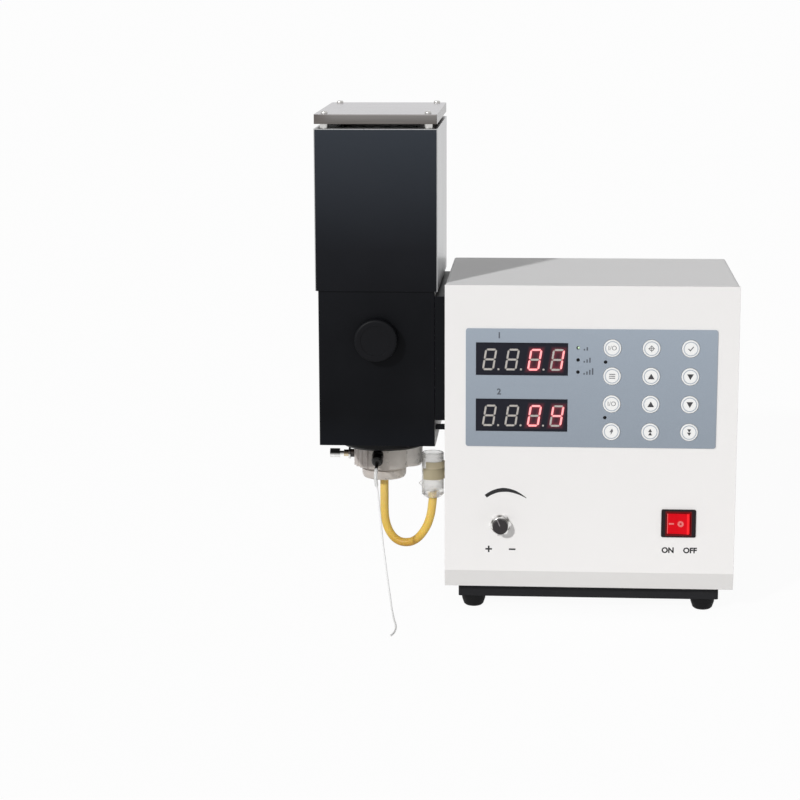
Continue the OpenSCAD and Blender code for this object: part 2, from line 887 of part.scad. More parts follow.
// The chosen bars of both displays; each entry of sets lists the bars of one digit
module digit_bars(sets, dots) {
    pocket = display_face + face_set / 2;
    facing(pocket - segment_t, segment_t)
        for (line = [0:1], place = [0:3]) {
            translate([
                window_x + (place - 1.5) * digit_pitch - digit_w / 2 - dot_d / 2 + digit_shift,
                window_zs[line] - digit_h / 2 - digit_sink
            ]) {
                for (i = sets[line][place]) {
                    polygon(bar_points(i));
                }
                if (dots && place < dots_per_line) {
                    translate(slanted([digit_w + 2 * dot_d, dot_d / 2])) circle(d = dot_d, $fn = 24);
                }
            }
        }
}

function without(set) = [for (i = [0:6]) if (len(search(i, set)) == 0) i];

module digits_lit() {
    color("red") placed() digit_bars(readings, false);
}

module digits_unlit() {
    color([0.62, 0.62, 0.60]) placed()
        digit_bars([for (line = readings) [for (set = line) without(set)]], true);
}

// Round-nosed lamps that stand on the panel board
module indicator_lamps() {
    r = lamp_d / 2;
    tip = -plate_t - lamp_proud;
    color([0.6, 0.85, 0.5]) placed()
        for (at = lamp_places()) {
            translate([at[0], 0, at[1]]) rotate([-90, 0, 0]) {
                translate([0, 0, tip + r]) cylinder(r = r, h = board_y - tip - r, $fn = 32);
                translate([0, 0, tip + r]) sphere(r = r, $fn = 32);
            }
        }
}

// ---------------------------------------------------------------- power switch

// Bezel and body of the switch, with a pocket for the rocker and three blades behind
module switch_body() {
    color(BLACK) placed() translate([switch_x, 0, switch_z]) {
        difference() {
            union() {
                facing(-bezel_t / 2, bezel_t / 2) bezel_outline(0);
                facing(-bezel_t, bezel_t / 2) bezel_outline(bezel_step);
                facing(0, switch_depth) square([switch_w, switch_h], center = true);
            }
            facing(-bezel_t - 1, bezel_t + 1 + pocket_depth) square([pocket_w, pocket_h], center = true);
            translate([0, pivot_y, -rocker_h / 2 - pivot_l - run_gap])
                cylinder(d = pivot_d + 2 * shaft_gap, h = rocker_h + 2 * (pivot_l + run_gap), $fn = 48);
        }
        for (i = [-1:1]) {
            facing(switch_depth, blade_l)
                translate([i * blade_pitch, 0]) square([blade_t, blade_w], center = true);
        }
    }
}

// The bezel's outline about its centre, smaller by step on every side
module bezel_outline(step) {
    translate([step - bezel_w / 2, step - bezel_h / 2])
        round_rect(bezel_w - 2 * step, bezel_h - 2 * step, bezel_r - step / 2);
}

// Rocker, dished across its face, that rocks about an upright pin
module switch_rocker() {
    color("red") placed() translate([switch_x, pivot_y, switch_z]) rotate([0, 0, -rocker_throw / 2]) {
        translate([0, 0, -rocker_h / 2]) linear_extrude(rocker_h) intersection() {
            circle(d = rocker_w);
            polygon([
                [-rocker_w / 2, -rocker_tip], [0, -rocker_dip], [rocker_w / 2, -rocker_tip],
                [rocker_w / 2, rocker_back], [-rocker_w / 2, rocker_back]
            ]);
        }
        translate([0, 0, -rocker_h / 2 - pivot_l])
            cylinder(d = pivot_d, h = rocker_h + 2 * pivot_l, $fn = 48);
    }
}

// ---------------------------------------------------------------- gas valve

// Brass valve block behind the panel, with the bush that passes through it
module valve_body() {
    color(BRASS) placed() difference() {
        union() {
            facing(sheet_t, valve_block) translate([valve_x, valve_z]) square(valve_block, center = true);
            bar_y(valve_x, -nut_t, valve_z, bush_d, nut_t + sheet_t);
            for (side = [-1, 1]) {
                translate([valve_x, sheet_t + valve_block / 2, valve_z]) rotate([0, side * 90, 0]) {
                    cylinder(d = barb_stem_d, h = valve_block / 2 + valve_hub_l);
                    cylinder(d = barb_d, h = valve_block / 2 + valve_tail_l);
                }
            }
        }
        bar_y(valve_x, -nut_t - 1, valve_z, spindle_d + 2 * shaft_gap, nut_t + 1 + spindle_in + run_gap);
    }
}

module valve_nut() {
    color(STEEL) placed() difference() {
        facing(-nut_t, nut_t) translate([valve_x, valve_z]) intersection() {
            rotate(nut_turn) hexagon(nut_af);
            circle(d = 1.13 * nut_af);
        }
        bar_y(valve_x, -nut_t - 1, valve_z, bush_d + 2 * shaft_gap, nut_t + 2);
    }
}

module valve_spindle() {
    color(BRASS) placed()
        bar_y(valve_x, -knob_out + 1.5, valve_z, spindle_d, knob_out - 1.5 + spindle_in);
}

// Bright skirt of the knob
module knob_skirt() {
    color(STEEL) placed() translate([valve_x, -nut_t - run_gap, valve_z]) rotate([90, 0, 0]) difference() {
        rotate_extrude() polygon([
            [0, 0], [skirt_d / 2, 0], [skirt_d / 2, skirt_t - 0.6], [skirt_d / 2 - 0.6, skirt_t], [0, skirt_t]
        ]);
        translate([0, 0, -1]) cylinder(d = spindle_d + 2 * shaft_gap, h = skirt_t + 2);
    }
}

// Black knurled cap with a pointer groove across its face, set to the rest position
module knob_cap() {
    length = knob_out - cap_start;
    bore = length - 1.4;
    color(BLACK) placed() translate([valve_x, -cap_start, valve_z]) rotate([90, 0, 0]) difference() {
        intersection() {
            linear_extrude(length) difference() {
                circle(d = knob_d);
                knurl(knob_d, knob_grooves, groove_d);
            }
            rotate_extrude() polygon([
                [0, 0], [knob_d / 2, 0], [knob_d / 2, length - 0.8], [knob_d / 2 - 0.8, length], [0, length]
            ]);
        }
        translate([0, 0, -1]) cylinder(d = spindle_d + 2 * shaft_gap, h = 1 + bore);
        rotate(pointer_rest) translate([-pointer_w / 2, 0, length - pointer_t])
            cube([pointer_w, knob_d, pointer_t + 1]);
    }
}

// ---------------------------------------------------------------- inside the cabinet

// Laminated core with its coil, on two feet
module power_transformer() {
    coil_w = core_w / 2 + coil_out;
    coil_h = core_h - 2 * coil_in;
    color([0.35, 0.33, 0.31]) placed() translate([transformer_x, transformer_y, box_low + sheet_t]) {
        translate([-core_w / 2, -core_d / 2, 0]) cube([core_w, core_d, core_h]);
        translate([-core_w / 2 - core_foot, -core_d / 2, 0])
            cube([core_w + 2 * core_foot, core_d, core_foot_t]);
        translate([-coil_w / 2, 0, coil_in]) facing(-core_d / 2 - coil_out, core_d + 2 * coil_out)
            round_rect(coil_w, coil_h, coil_r);
    }
}

// Main circuit board on four spacers, with its regulator's heat sink and capacitors
module main_board() {
    level = box_low + sheet_t;
    color(BOARD_GREEN) placed() translate([card_x, card_y, level]) {
        for (x = [spacer_in, card_w - spacer_in], y = [spacer_in, card_d - spacer_in]) {
            translate([x, y, 0]) cylinder(d = spacer_d, h = card_up);
        }
        translate([0, 0, card_up]) cube([card_w, card_d, board_t]);
        translate([0, 0, card_up + board_t]) {
            translate([sink_in, card_d - sink_in - sink_d, 0]) heat_sink();
            for (i = [0:1]) {
                translate([sink_in + (i + 0.5) * capacitor_pitch, sink_in + capacitor_d, 0])
                    cylinder(d = capacitor_d, h = capacitor_h);
            }
            translate([card_w - sink_in - chip_w, sink_in + capacitor_d, 0]) cube([chip_w, chip_w, chip_t]);
        }
    }
}

// Finned heat sink, from its lower left rear corner
module heat_sink() {
    step = (sink_w - sink_wall) / (sink_fins - 1);
    cube([sink_w, sink_wall, sink_h]);
    for (i = [0:sink_fins - 1]) {
        translate([i * step, 0, 0]) cube([sink_wall, sink_d, sink_h]);
    }
}

// Light-tight box with filters and photocells; its snout reaches to the tower
module detector_block() {
    snout_l = sheet_t - housing_right - run_gap;
    color(BLACK) placed() difference() {
        union() {
            translate([sheet_t, tower_y - detector_d / 2, port_up - detector_h / 2])
                cube([detector_w, detector_d, detector_h]);
            bar_x(housing_right + run_gap, tower_y, port_up, snout_d, snout_l);
        }
        bar_x(housing_right, tower_y, port_up, snout_bore, sheet_t - housing_right + detector_w / 2);
    }
}

// ---------------------------------------------------------------- rear fittings

// Outline of the appliance inlet's socket, with two corners cut
module socket_outline() {
    w = socket_w / 2;
    h = socket_h / 2;
    cut = 4.5;
    polygon([[-w, -h], [w, -h], [w, h - cut], [w - cut, h], [cut - w, h], [-w, h - cut]]);
}

module mains_inlet() {
    mouth = rear_face + inlet_flange_t;
    color(BLACK) placed() translate([inlet_x, 0, inlet_z]) {
        difference() {
            union() {
                facing(rear_face - inlet_depth, inlet_depth) square([inlet_w, inlet_h], center = true);
                facing(rear_face, inlet_flange_t) difference() {
                    translate([-inlet_flange_w / 2, -inlet_flange_h / 2])
                        round_rect(inlet_flange_w, inlet_flange_h, inlet_flange_r);
                    for (side = [-1, 1]) {
                        translate([side * inlet_hole_x, 0]) circle(d = inlet_hole_d, $fn = 32);
                    }
                }
            }
            facing(mouth - socket_deep, socket_deep + 1) socket_outline();
        }
        for (at = [[-pin_pitch, -1.5], [pin_pitch, -1.5], [0, 2.5]]) {
            facing(mouth - socket_deep - 1, socket_deep + 1 - pin_set)
                translate(at) square([pin_t, pin_w], center = true);
        }
    }
}

// Panel fuse holder with a slotted cap
module fuse_holder() {
    color(BLACK) placed() translate([fuse_x, rear_face, inlet_z]) {
        rotate([90, 0, 0]) cylinder(d = fuse_body_d, h = fuse_body_l);
        difference() {
            rotate([-90, 0, 0]) rotate_extrude() polygon([
                [0, 0], [fuse_cap_d / 2, 0], [fuse_cap_d / 2, 2], [fuse_cap_d / 2 - 1.5, 3],
                [fuse_cap_d / 2 - 2, fuse_cap_t - 1], [fuse_cap_d / 2 - 3, fuse_cap_t], [0, fuse_cap_t]
            ]);
            translate([-fuse_cap_d, fuse_cap_t - 1.5, -0.8]) cube([2 * fuse_cap_d, 3, 1.6]);
        }
    }
}

// Gas and air hose tails in the rear panel
module hose_fittings() {
    tail = barb_l - barb_nut_t;
    through = barb_l + sheet_t + barb_stem_l;
    color(BRASS) placed()
        for (x = barb_xs) {
            difference() {
                union() {
                    bar_y(x, rear_face - sheet_t - barb_stem_l, barb_z, barb_stem_d, sheet_t + barb_stem_l);
                    facing(rear_face, barb_nut_t) translate([x, barb_z]) hexagon(barb_nut_af);
                    translate([x, rear_face + barb_nut_t, barb_z]) rotate([-90, 0, 0])
                        rotate_extrude() polygon([
                            [0, 0], [barb_d / 2, 0], [barb_d / 2, tail - 1], [barb_d / 2 - 1, tail], [0, tail]
                        ]);
                }
                bar_y(x, rear_face - sheet_t - barb_stem_l - 1, barb_z, barb_bore, through + 2);
            }
        }
}

// ---------------------------------------------------------------- tower

// Lower housing: a deep box with a floor, open at the top inside the upper cover
module tower_housing() {
    color(TOWER_BLACK) placed() difference() {
        translate([housing_left, housing_in, housing_up]) linear_extrude(housing_top - housing_up)
            round_rect(housing_w, housing_d, hood_r);
        translate([housing_left + tower_t, housing_in + tower_t, housing_floor])
            linear_extrude(housing_top)
                round_rect(housing_w - 2 * tower_t, housing_d - 2 * tower_t, max(hood_r - tower_t, 0.2));
        translate([tower_x, tower_y, housing_up - 1]) cylinder(d = stem_d + 2 * shaft_gap, h = tower_t + 2);
        bar_y(tower_x, housing_in - 1, port_up, port_d, tower_t + 2);
        bar_x(housing_right - tower_t - 1, tower_y, port_up, snout_bore, tower_t + 2);
    }
}

// Upper cover: bright sheet round three sides, with a turned-in top that carries the lid
module upper_cover() {
    depth = hood_d - front_plate_t;
    color(STEEL) placed() difference() {
        translate([hood_left, front_plate_t, hood_up]) cube([hood_w, depth, hood_h]);
        translate([hood_left + tower_t, front_plate_t - 1, hood_up - 1])
            cube([hood_w - 2 * tower_t, depth - tower_t + 1, hood_h - tower_t + 1]);
        translate([hood_left + hood_flange, front_plate_t + hood_flange, hood_up])
            cube([hood_w - 2 * hood_flange, depth - 2 * hood_flange, hood_h + 1]);
        for (x = pillar_xs, y = pillar_ys) {
            translate([x, y, hood_top - tower_t - 1]) cylinder(d = lid_bore, h = tower_t + 2);
        }
    }
}

// Black plate that closes the upper cover's front
module cover_plate() {
    color(TOWER_BLACK) placed() facing(0, front_plate_t)
        translate([hood_left + plate_reveal, hood_up])
            round_rect(hood_w - 2 * plate_reveal, hood_h - plate_reveal, front_plate_r);
}

// Inverted tray over the open top
module lid() {
    color(STEEL) placed() translate([hood_left + lid_in, lid_in, 0]) difference() {
        translate([0, 0, lid_low]) linear_extrude(lid_rim) round_rect(lid_w, lid_d, lid_r);
        translate([lid_t, lid_t, lid_low - 1]) linear_extrude(lid_rim - lid_t + 1)
            round_rect(lid_w - 2 * lid_t, lid_d - 2 * lid_t, max(lid_r - lid_t, 0.2));
        for (x = pillar_xs, y = pillar_ys) {
            translate([x - hood_left - lid_in, y - lid_in, lid_top - lid_t - 1])
                cylinder(d = lid_bore, h = lid_t + 2);
        }
    }
}

module lid_pillars() {
    color(STEEL) placed()
        for (x = pillar_xs, y = pillar_ys) {
            translate([x, y, hood_top]) difference() {
                cylinder(d = pillar_d, h = lid_top - lid_t - hood_top);
                translate([0, 0, -1]) cylinder(d = lid_bore, h = lid_gap + lid_rim + 2);
            }
        }
}

// Screws through the lid and the pillars, each with its nut under the cover's top
module lid_screws() {
    grip = lid_top - hood_top + tower_t;
    color(STEEL) placed()
        for (x = pillar_xs, y = pillar_ys) {
            translate([x, y, lid_top])
                pan_screw(lid_screw_d, lid_screw_h, screw_shank_d, grip + lid_nut_t + 1);
            translate([x, y, lid_top - grip - lid_nut_t]) linear_extrude(lid_nut_t) hexagon(lid_nut_af);
        }
}

// Round black cap that plugs the sight port
module port_cap() {
    color(BLACK) placed() translate([tower_x, housing_in, port_up]) rotate([90, 0, 0]) rotate_extrude() {
        translate([0, -spigot_l]) square([port_d / 2 - shaft_gap, spigot_l]);
        difference() {
            union() {
                square([cap_d / 2, cap_out - cap_round]);
                square([cap_d / 2 - cap_round, cap_out]);
                translate([cap_d / 2 - cap_round, cap_out - cap_round]) circle(r = cap_round, $fn = 32);
            }
            translate([0, cap_out - cap_dish]) square([cap_dish_d / 2, cap_dish + 1]);
            translate([-cap_d, -1]) square([cap_d, cap_out + 2]);
        }
    }
}

// Rectangular duct that joins the tower to the cabinet round the light path
module light_duct() {
    color(TOWER_BLACK) placed() across(housing_right, -housing_right) difference() {
        translate([duct_front, duct_low]) square([duct_d, duct_top - duct_low]);
        translate([duct_front + tower_t, duct_low + tower_t])
            square([duct_d - 2 * tower_t, duct_top - duct_low - 2 * tower_t]);
    }
}

// Two bars that tie the foot of the tower to the cabinet's side, front and rear
module support_bar() {
    color(BLACK) placed() for (y = [bar_in, hood_d - bar_in - bar_w]) {
        translate([housing_right, y, bar_up]) cube([-housing_right, bar_w, bar_t]);
    }
}

// ---------------------------------------------------------------- burner

// Thick round flange under the tower
module burner_flange() {
    r = flange_d / 2;
    color(BLACK) placed() translate([tower_x, tower_y, flange_low]) difference() {
        rotate_extrude($fn = 96) polygon([
            [0, 0], [r - flange_chamfer, 0], [r, flange_chamfer], [r, flange_t], [0, flange_t]
        ]);
        translate([0, 0, -1]) cylinder(d = stem_d + 2 * shaft_gap, h = flange_t + 2);
    }
}

// Burner tube with its collar on the housing's floor and the jets in its head
module burner_head() {
    color(STEEL) placed() translate([tower_x, tower_y, 0]) difference() {
        union() {
            translate([0, 0, stem_low]) cylinder(d = stem_d, h = burner_top - stem_low);
            translate([0, 0, housing_floor]) cylinder(d = collar_d, h = collar_t);
            translate([0, 0, burner_top - head_h]) cylinder(d = burner_d, h = head_h);
        }
        translate([0, 0, stem_low - 1]) cylinder(d = stem_bore, h = burner_top - stem_low - 2);
        for (i = [0:jet_count - 1]) {
            rotate(i * 360 / jet_count) translate([jet_ring_d / 2, 0, burner_top - 4])
                cylinder(d = jet_d, h = 5, $fn = 16);
        }
    }
}

module glass_chimney() {
    color(CLEAR) placed() translate([tower_x, tower_y, housing_floor]) difference() {
        cylinder(d = glass_d, h = glass_h);
        translate([0, 0, -1]) cylinder(d = glass_d - 2 * glass_t, h = glass_h + 2);
    }
}

// Round chamber wall with a lobe to the right, grown by an offset (negative inside)
module chamber_form(grow) {
    cylinder(d = chamber_d + 2 * grow, h = chamber_h);
    translate([lobe_off, 0, 0]) {
        cylinder(d1 = lobe_d - 2 * lobe_taper + 2 * grow, d2 = lobe_d + 2 * grow, h = lobe_bevel);
        translate([0, 0, lobe_bevel]) cylinder(d = lobe_d + 2 * grow, h = chamber_h - lobe_bevel);
    }
}

// Moulded mixing chamber: ribbed wall, side lobe, seats for the nebuliser and the needle
module mixing_chamber() {
    color(SMOKY) placed() difference() {
        translate([tower_x, tower_y, chamber_low]) {
            chamber_form(0);
            for (i = [0:rib_count - 1]) {
                rotate(rib_from + i * rib_step) translate([chamber_d / 2, 0, 0])
                    cylinder(d = rib_d, h = chamber_h, $fn = 32);
            }
        }
        translate([tower_x, tower_y, chamber_low + chamber_floor]) chamber_form(-chamber_t);
        translate([tower_x, tower_y, chamber_low - 1]) cylinder(d = bowl_d, h = chamber_floor + 2);
        along_nebuliser() translate([0, 0, -spigot_in - 2])
            cylinder(d = spigot_d + 2 * shaft_gap, h = spigot_in + neb_out);
        bar_x(wall_x - rib_d, tower_y, needle_z, shank_d + 2 * hole_gap, rib_d + chamber_t + 2);
    }
}

// Drain base: a bowl under the chamber that runs out through a nipple
module chamber_base() {
    r = base_ring_d / 2;
    color(SMOKY) placed() translate([tower_x, tower_y, base_low]) difference() {
        rotate_extrude($fn = 96) polygon([
            [0, 0], [r - base_round - 1, 0], [r - base_round + 0.6, 0.6],
            [r - 0.5, base_round + 0.4], [r, base_round + 2.4],
            [r, base_ring_h - base_groove - 1], [r - base_step, base_ring_h - base_groove],
            [r - base_step, base_ring_h], [0, base_ring_h]
        ]);
        translate([0, 0, base_ring_h - base_bowl])
            cylinder(d1 = 2 * drain_d, d2 = bowl_d, h = base_bowl + 0.01);
        translate([0, 0, -1]) cylinder(d = drain_d, h = base_ring_h, $fn = 32);
    }
    color(SMOKY) placed() translate([tower_x, tower_y, base_low - nipple_l]) difference() {
        cylinder(d = nipple_d, h = nipple_l, $fn = 32);
        translate([0, 0, -1]) cylinder(d = drain_d, h = nipple_l + 2, $fn = 32);
    }
}

// ---------------------------------------------------------------- nebuliser and needle

// Places its children on the nebuliser's axis, which points out of the chamber
module along_nebuliser() {
    translate([neb_x, neb_y, neb_z]) rotate([90 + neb_tilt, 0, 0]) children();
}

// Nebuliser: spigot, collar, round body with grip rings and the tip for the capillary
module nebuliser() {
    r = neb_d / 2;
    color(BLACK) placed() difference() {
        along_nebuliser() rotate_extrude() polygon([
            [0, -spigot_in], [spigot_d / 2, -spigot_in], [spigot_d / 2, 0], [r, 0], [r, neb_flange_t],
            [r - neb_neck, neb_flange_t], [r - neb_neck, neb_flange_t + 1.2], [r, neb_flange_t + 1.6],
            [r, neb_out - 3], [r - 1, neb_out - 1], [r - 2.6, neb_out], [tip_d / 2, neb_out],
            [tip_d / 2, neb_out + tip_l], [0, neb_out + tip_l]
        ]);
        translate([tower_x, tower_y, chamber_low]) difference() {
            cylinder(d = chamber_d + 2 * shaft_gap, h = chamber_h);
            along_spigot();
        }
    }
}

// The spigot's own space inside the chamber's wall, seen from the chamber's foot
module along_spigot() {
    translate([-tower_x, -tower_y, -chamber_low]) along_nebuliser() translate([0, 0, -spigot_in - 1])
        cylinder(d = spigot_d, h = spigot_in + neb_out);
}

// Gland, washer and lock ring that carry the needle
module needle_gland() {
    color([0.35, 0.24, 0.18]) placed() difference() {
        union() {
            bar_x(wall_x - gland_l, tower_y, needle_z, gland_d, gland_l - 0.1);
            bar_x(wall_x - gland_l - washer_l, tower_y, needle_z, washer_d, washer_l);
            bar_x(wall_x - gland_reach, tower_y, needle_z, lock_d, lock_l);
        }
        bar_x(wall_x - gland_reach - 1, tower_y, needle_z, shank_d + 2 * shaft_gap, gland_reach + 2);
    }
}

// Knurled needle screw that trims the air flow
module needle_screw() {
    tip = wall_x + needle_reach;
    color(STEEL) placed() {
        translate([thumb_start - thumb_l, tower_y, needle_z]) rotate([0, 90, 0])
            linear_extrude(thumb_l) difference() {
                circle(d = thumb_d);
                knurl(thumb_d, thumb_grooves, groove_d - 0.1);
            }
        bar_x(thumb_start, tower_y, needle_z, shank_d, tip - thumb_start - needle_cone);
        translate([tip - needle_cone, tower_y, needle_z]) rotate([0, 90, 0])
            cylinder(d1 = shank_d, d2 = 1, h = needle_cone);
    }
}

// ---------------------------------------------------------------- drain

// Clear cup with a lug, and a socket in its floor for the hose
module drain_cup() {
    r = cup_d / 2;
    color(CLEAR) placed() translate([cup_x, cup_y, cup_low]) {
        difference() {
            union() {
                rotate_extrude() polygon([
                    [0, 0], [r - cup_chamfer, 0], [r, cup_chamfer],
                    [r, cup_h - rim_bead], [r - 0.4, cup_h - rim_bead + 0.4],
                    [r - 0.4, cup_h - rim_bead + 0.8], [r, cup_h - rim_bead + 1.2],
                    [r, cup_h - 0.6], [r - 0.4, cup_h], [0, cup_h]
                ]);
                translate([0, lug_t / 2, lug_up]) rotate([90, 0, 0]) linear_extrude(lug_t)
                    polygon([[-r + 1, 0], [-r - lug_out, 0.55 * lug_h], [-r + 1, lug_h]]);
            }
            translate([0, 0, cup_floor]) cylinder(r = r - cup_t, h = cup_h);
            translate([0, 0, -1]) cylinder(d = hose_d + 2 * hole_gap, h = cup_socket + 1);
            cylinder(d = cup_drain_d, h = cup_floor + 1, $fn = 32);
        }
    }
}

// A sector of a disc, between two angles that span up to half a turn
module sector(r, from, to) {
    polygon([[0, 0], for (k = [0:4]) let (a = from + k * (to - from) / 4) 1.5 * r * [cos(a), sin(a)]]);
}

// Open spring band round the cup, on a stub that is fixed to the cabinet's side
module cup_clip() {
    inner = cup_d / 2 + clip_gap;
    outer = inner + clip_t;
    color([0.66, 0.63, 0.50]) placed() translate([cup_x, cup_y, clip_low]) difference() {
        union() {
            linear_extrude(clip_band) difference() {
                circle(outer);
                sector(outer, clip_back, clip_front);
            }
            linear_extrude(clip_band + clip_tab) difference() {
                circle(outer);
                sector(outer, 0, 180);
                sector(outer, 180, tab_front);
            }
            bar_x(0, 0, clip_band / 2, clip_arm_d, -cup_x);
        }
        translate([0, 0, -1]) cylinder(r = inner, h = clip_band + clip_tab + 2);
    }
}

// ---------------------------------------------------------------- soft lines

function unit(v) = v / norm(v);
function last(list) = len(list) - 1;
function heading(path, i) = unit(path[min(i + 1, last(path))] - path[max(i - 1, 0)]);

// One ring of a swept tube, square to its path; side is a direction the path never takes
function ring(path, i, r, sides, side) =
    let (t = heading(path, i), u = unit(cross(t, side)), v = cross(t, u))
    [for (k = [0:sides - 1]) path[i] + r * (cos(k * 360 / sides) * u + sin(k * 360 / sides) * v)];

// Solid tube along a path
module swept_tube(path, d, sides, side) {
    rings = len(path);
    points = [for (i = [0:rings - 1]) each ring(path, i, d / 2, sides, side)];
    walls = [
        for (i = [0:rings - 2], k = [0:sides - 1])
            let (a = i * sides + k, b = i * sides + (k + 1) % sides)
            [a, a + sides, b + sides, b]
    ];
    near = [for (k = [0:sides - 1]) k];
    far = [for (k = [sides - 1:-1:0]) (rings - 1) * sides + k];
    polyhedron(points, concat([near], walls, [far]));
}

// Drain hose from the chamber's base down in a loop and up into the cup's floor
module drain_hose() {
    start = [tower_x, tower_y, base_low];
    end = [cup_x, cup_y, cup_low + cup_socket];
    color([0.87, 0.72, 0.31]) placed()
        swept_tube(concat([start], hose_route, [end]), hose_d, hose_sides, [0, 1, 0]);
}

// Sampling capillary from the nebuliser's tip down to the bench
module capillary() {
    reach = neb_out + tip_l;
    axis = [0, -cos(neb_tilt), -sin(neb_tilt)];
    start = [neb_x, neb_y, neb_z] + reach * axis;
    path = concat([start, start + lead_out * axis], capillary_route);
    color([0.93, 0.93, 0.92]) placed() swept_tube(path, capillary_d, capillary_sides, [1, 0, 0]);
}

// ---------------------------------------------------------------- all pieces

cabinet_cover();
front_panel();
rear_panel();
chassis_plate();
base_tray();
feet();
panel_screws();
keypad_plate();
panel_board();
display(0);  // display_upper
display(1);  // display_lower
digits_lit();
digits_unlit();
indicator_lamps();
key(0, 0);  // key_a1
key(1, 0);  // key_a2
key(2, 0);  // key_a3
key(0, 1);  // key_b1
key(1, 1);  // key_b2
key(2, 1);  // key_b3
key(0, 2);  // key_c1
key(1, 2);  // key_c2
key(2, 2);  // key_c3
key(0, 3);  // key_d1
key(1, 3);  // key_d2
key(2, 3);  // key_d3
switch_body();
switch_rocker();
valve_body();
valve_nut();
valve_spindle();
knob_skirt();
knob_cap();
power_transformer();
main_board();
detector_block();
mains_inlet();
fuse_holder();
hose_fittings();
tower_housing();
upper_cover();
cover_plate();
lid();
lid_pillars();
lid_screws();
port_cap();
light_duct();
support_bar();
burner_flange();
burner_head();
glass_chimney();
mixing_chamber();
chamber_base();
nebuliser();
needle_gland();
needle_screw();
drain_cup();
cup_clip();
drain_hose();
capillary();
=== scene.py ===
"""Bench flame photometer, dressed for rendering.

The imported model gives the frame: every piece sits where its solid is, in metres, +Z up,
with the front facing -Y. Each operator makes or finishes one group of pieces, or sets up the
camera or the stage, and the panel in the sidebar lists them in the order in which they run.
"""

import json
from math import atan2, cos, pi, radians, sin, tan

import bmesh
import bpy
from bpy.props import FloatProperty, FloatVectorProperty, PointerProperty
from mathutils import Matrix, Vector


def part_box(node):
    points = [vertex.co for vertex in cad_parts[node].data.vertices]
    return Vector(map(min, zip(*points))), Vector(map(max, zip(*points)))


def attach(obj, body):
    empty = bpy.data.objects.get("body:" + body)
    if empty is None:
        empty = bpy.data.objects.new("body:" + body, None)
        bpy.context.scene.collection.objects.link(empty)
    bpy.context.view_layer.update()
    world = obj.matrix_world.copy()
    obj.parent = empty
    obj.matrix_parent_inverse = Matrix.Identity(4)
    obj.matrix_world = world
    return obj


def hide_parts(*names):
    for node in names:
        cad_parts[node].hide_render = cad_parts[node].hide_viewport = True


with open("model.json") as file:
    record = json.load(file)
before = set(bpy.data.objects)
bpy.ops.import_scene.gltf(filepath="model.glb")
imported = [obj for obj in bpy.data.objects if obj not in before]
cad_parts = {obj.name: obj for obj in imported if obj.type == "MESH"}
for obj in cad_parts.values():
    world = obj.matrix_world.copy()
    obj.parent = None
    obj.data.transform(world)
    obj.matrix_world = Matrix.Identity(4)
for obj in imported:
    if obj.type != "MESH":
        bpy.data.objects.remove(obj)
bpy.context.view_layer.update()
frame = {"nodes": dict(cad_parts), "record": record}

bl_info = {
    "name": "Flame photometer",
    "version": (1, 0, 0),
    "blender": (4, 5, 0),
    "location": "View3D > Sidebar > Photometer",
    "description": "Finishes, soft lines, printed marks and studio of a bench flame photometer",
    "category": "Object",
}

# One millimetre, in metres
MM = 0.001
NODES = frame["nodes"]
BODY_OF = {
    node: body
    for body, members in frame["record"]["behaviour"]["bodies"].items()
    for node in members
}
HOUSING = "housing"
KEYS = [row + column for row in "abcd" for column in "123"]

# Lit digits of both windows, in metres: places to the right of the window's middle, drop below
# it, and half the width and height of their outline
LIT_DIGITS = (11.8 * MM, 32.6 * MM)
DIGIT_DROP = 0.6 * MM
DIGIT_SLANT = radians(9.0)
DIGIT_HALF_W = 4.6 * MM
DIGIT_HALF_H = 9.2 * MM

# Reach of the painted red glow on both sides of that outline, in metres, and its strength
GLOW_OUTSIDE = 4.2 * MM
GLOW_INSIDE = 3.6 * MM
GLOW = 0.18


# ---------------------------------------------------------------- places


def low(node):
    """Lowest corner of a node's box."""
    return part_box(node)[0]


def high(node):
    """Highest corner of a node's box."""
    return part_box(node)[1]


def middle(node):
    """Middle of a node's box."""
    return (low(node) + high(node)) / 2


# Left front corner of the cabinet, at the bench's level, in metres
CORNER = Vector((low("front_panel").x, low("front_panel").y, 0.0))
PLATE_Y = low("keypad_plate").y


def from_corner(x, y, z):
    """A point given in millimetres from the cabinet's lower left front corner."""
    return CORNER + Vector((x, y, z)) * MM


# ---------------------------------------------------------------- settings


def length_setting(name, description, default):
    """A size in metres, shown with its unit."""
    return FloatProperty(name=name, description=description, default=default, min=0.0, unit="LENGTH")


def colour_setting(name, description, default):
    """A colour, as the surface shows it under plain white light."""
    return FloatVectorProperty(
        name=name, description=description, default=default, size=3, subtype="COLOR", min=0.0, max=1.0
    )


def share_setting(name, description, default):
    """A number from 0 to 1."""
    return FloatProperty(name=name, description=description, default=default, min=0.0, max=1.0)


def strength_setting(name, description, default):
    """Strength of a light."""
    return FloatProperty(name=name, description=description, default=default, min=0.0)


def angle_setting(name, description, degrees):
    """An angle, shown in degrees."""
    return FloatProperty(name=name, description=description, default=radians(degrees), subtype="ANGLE")


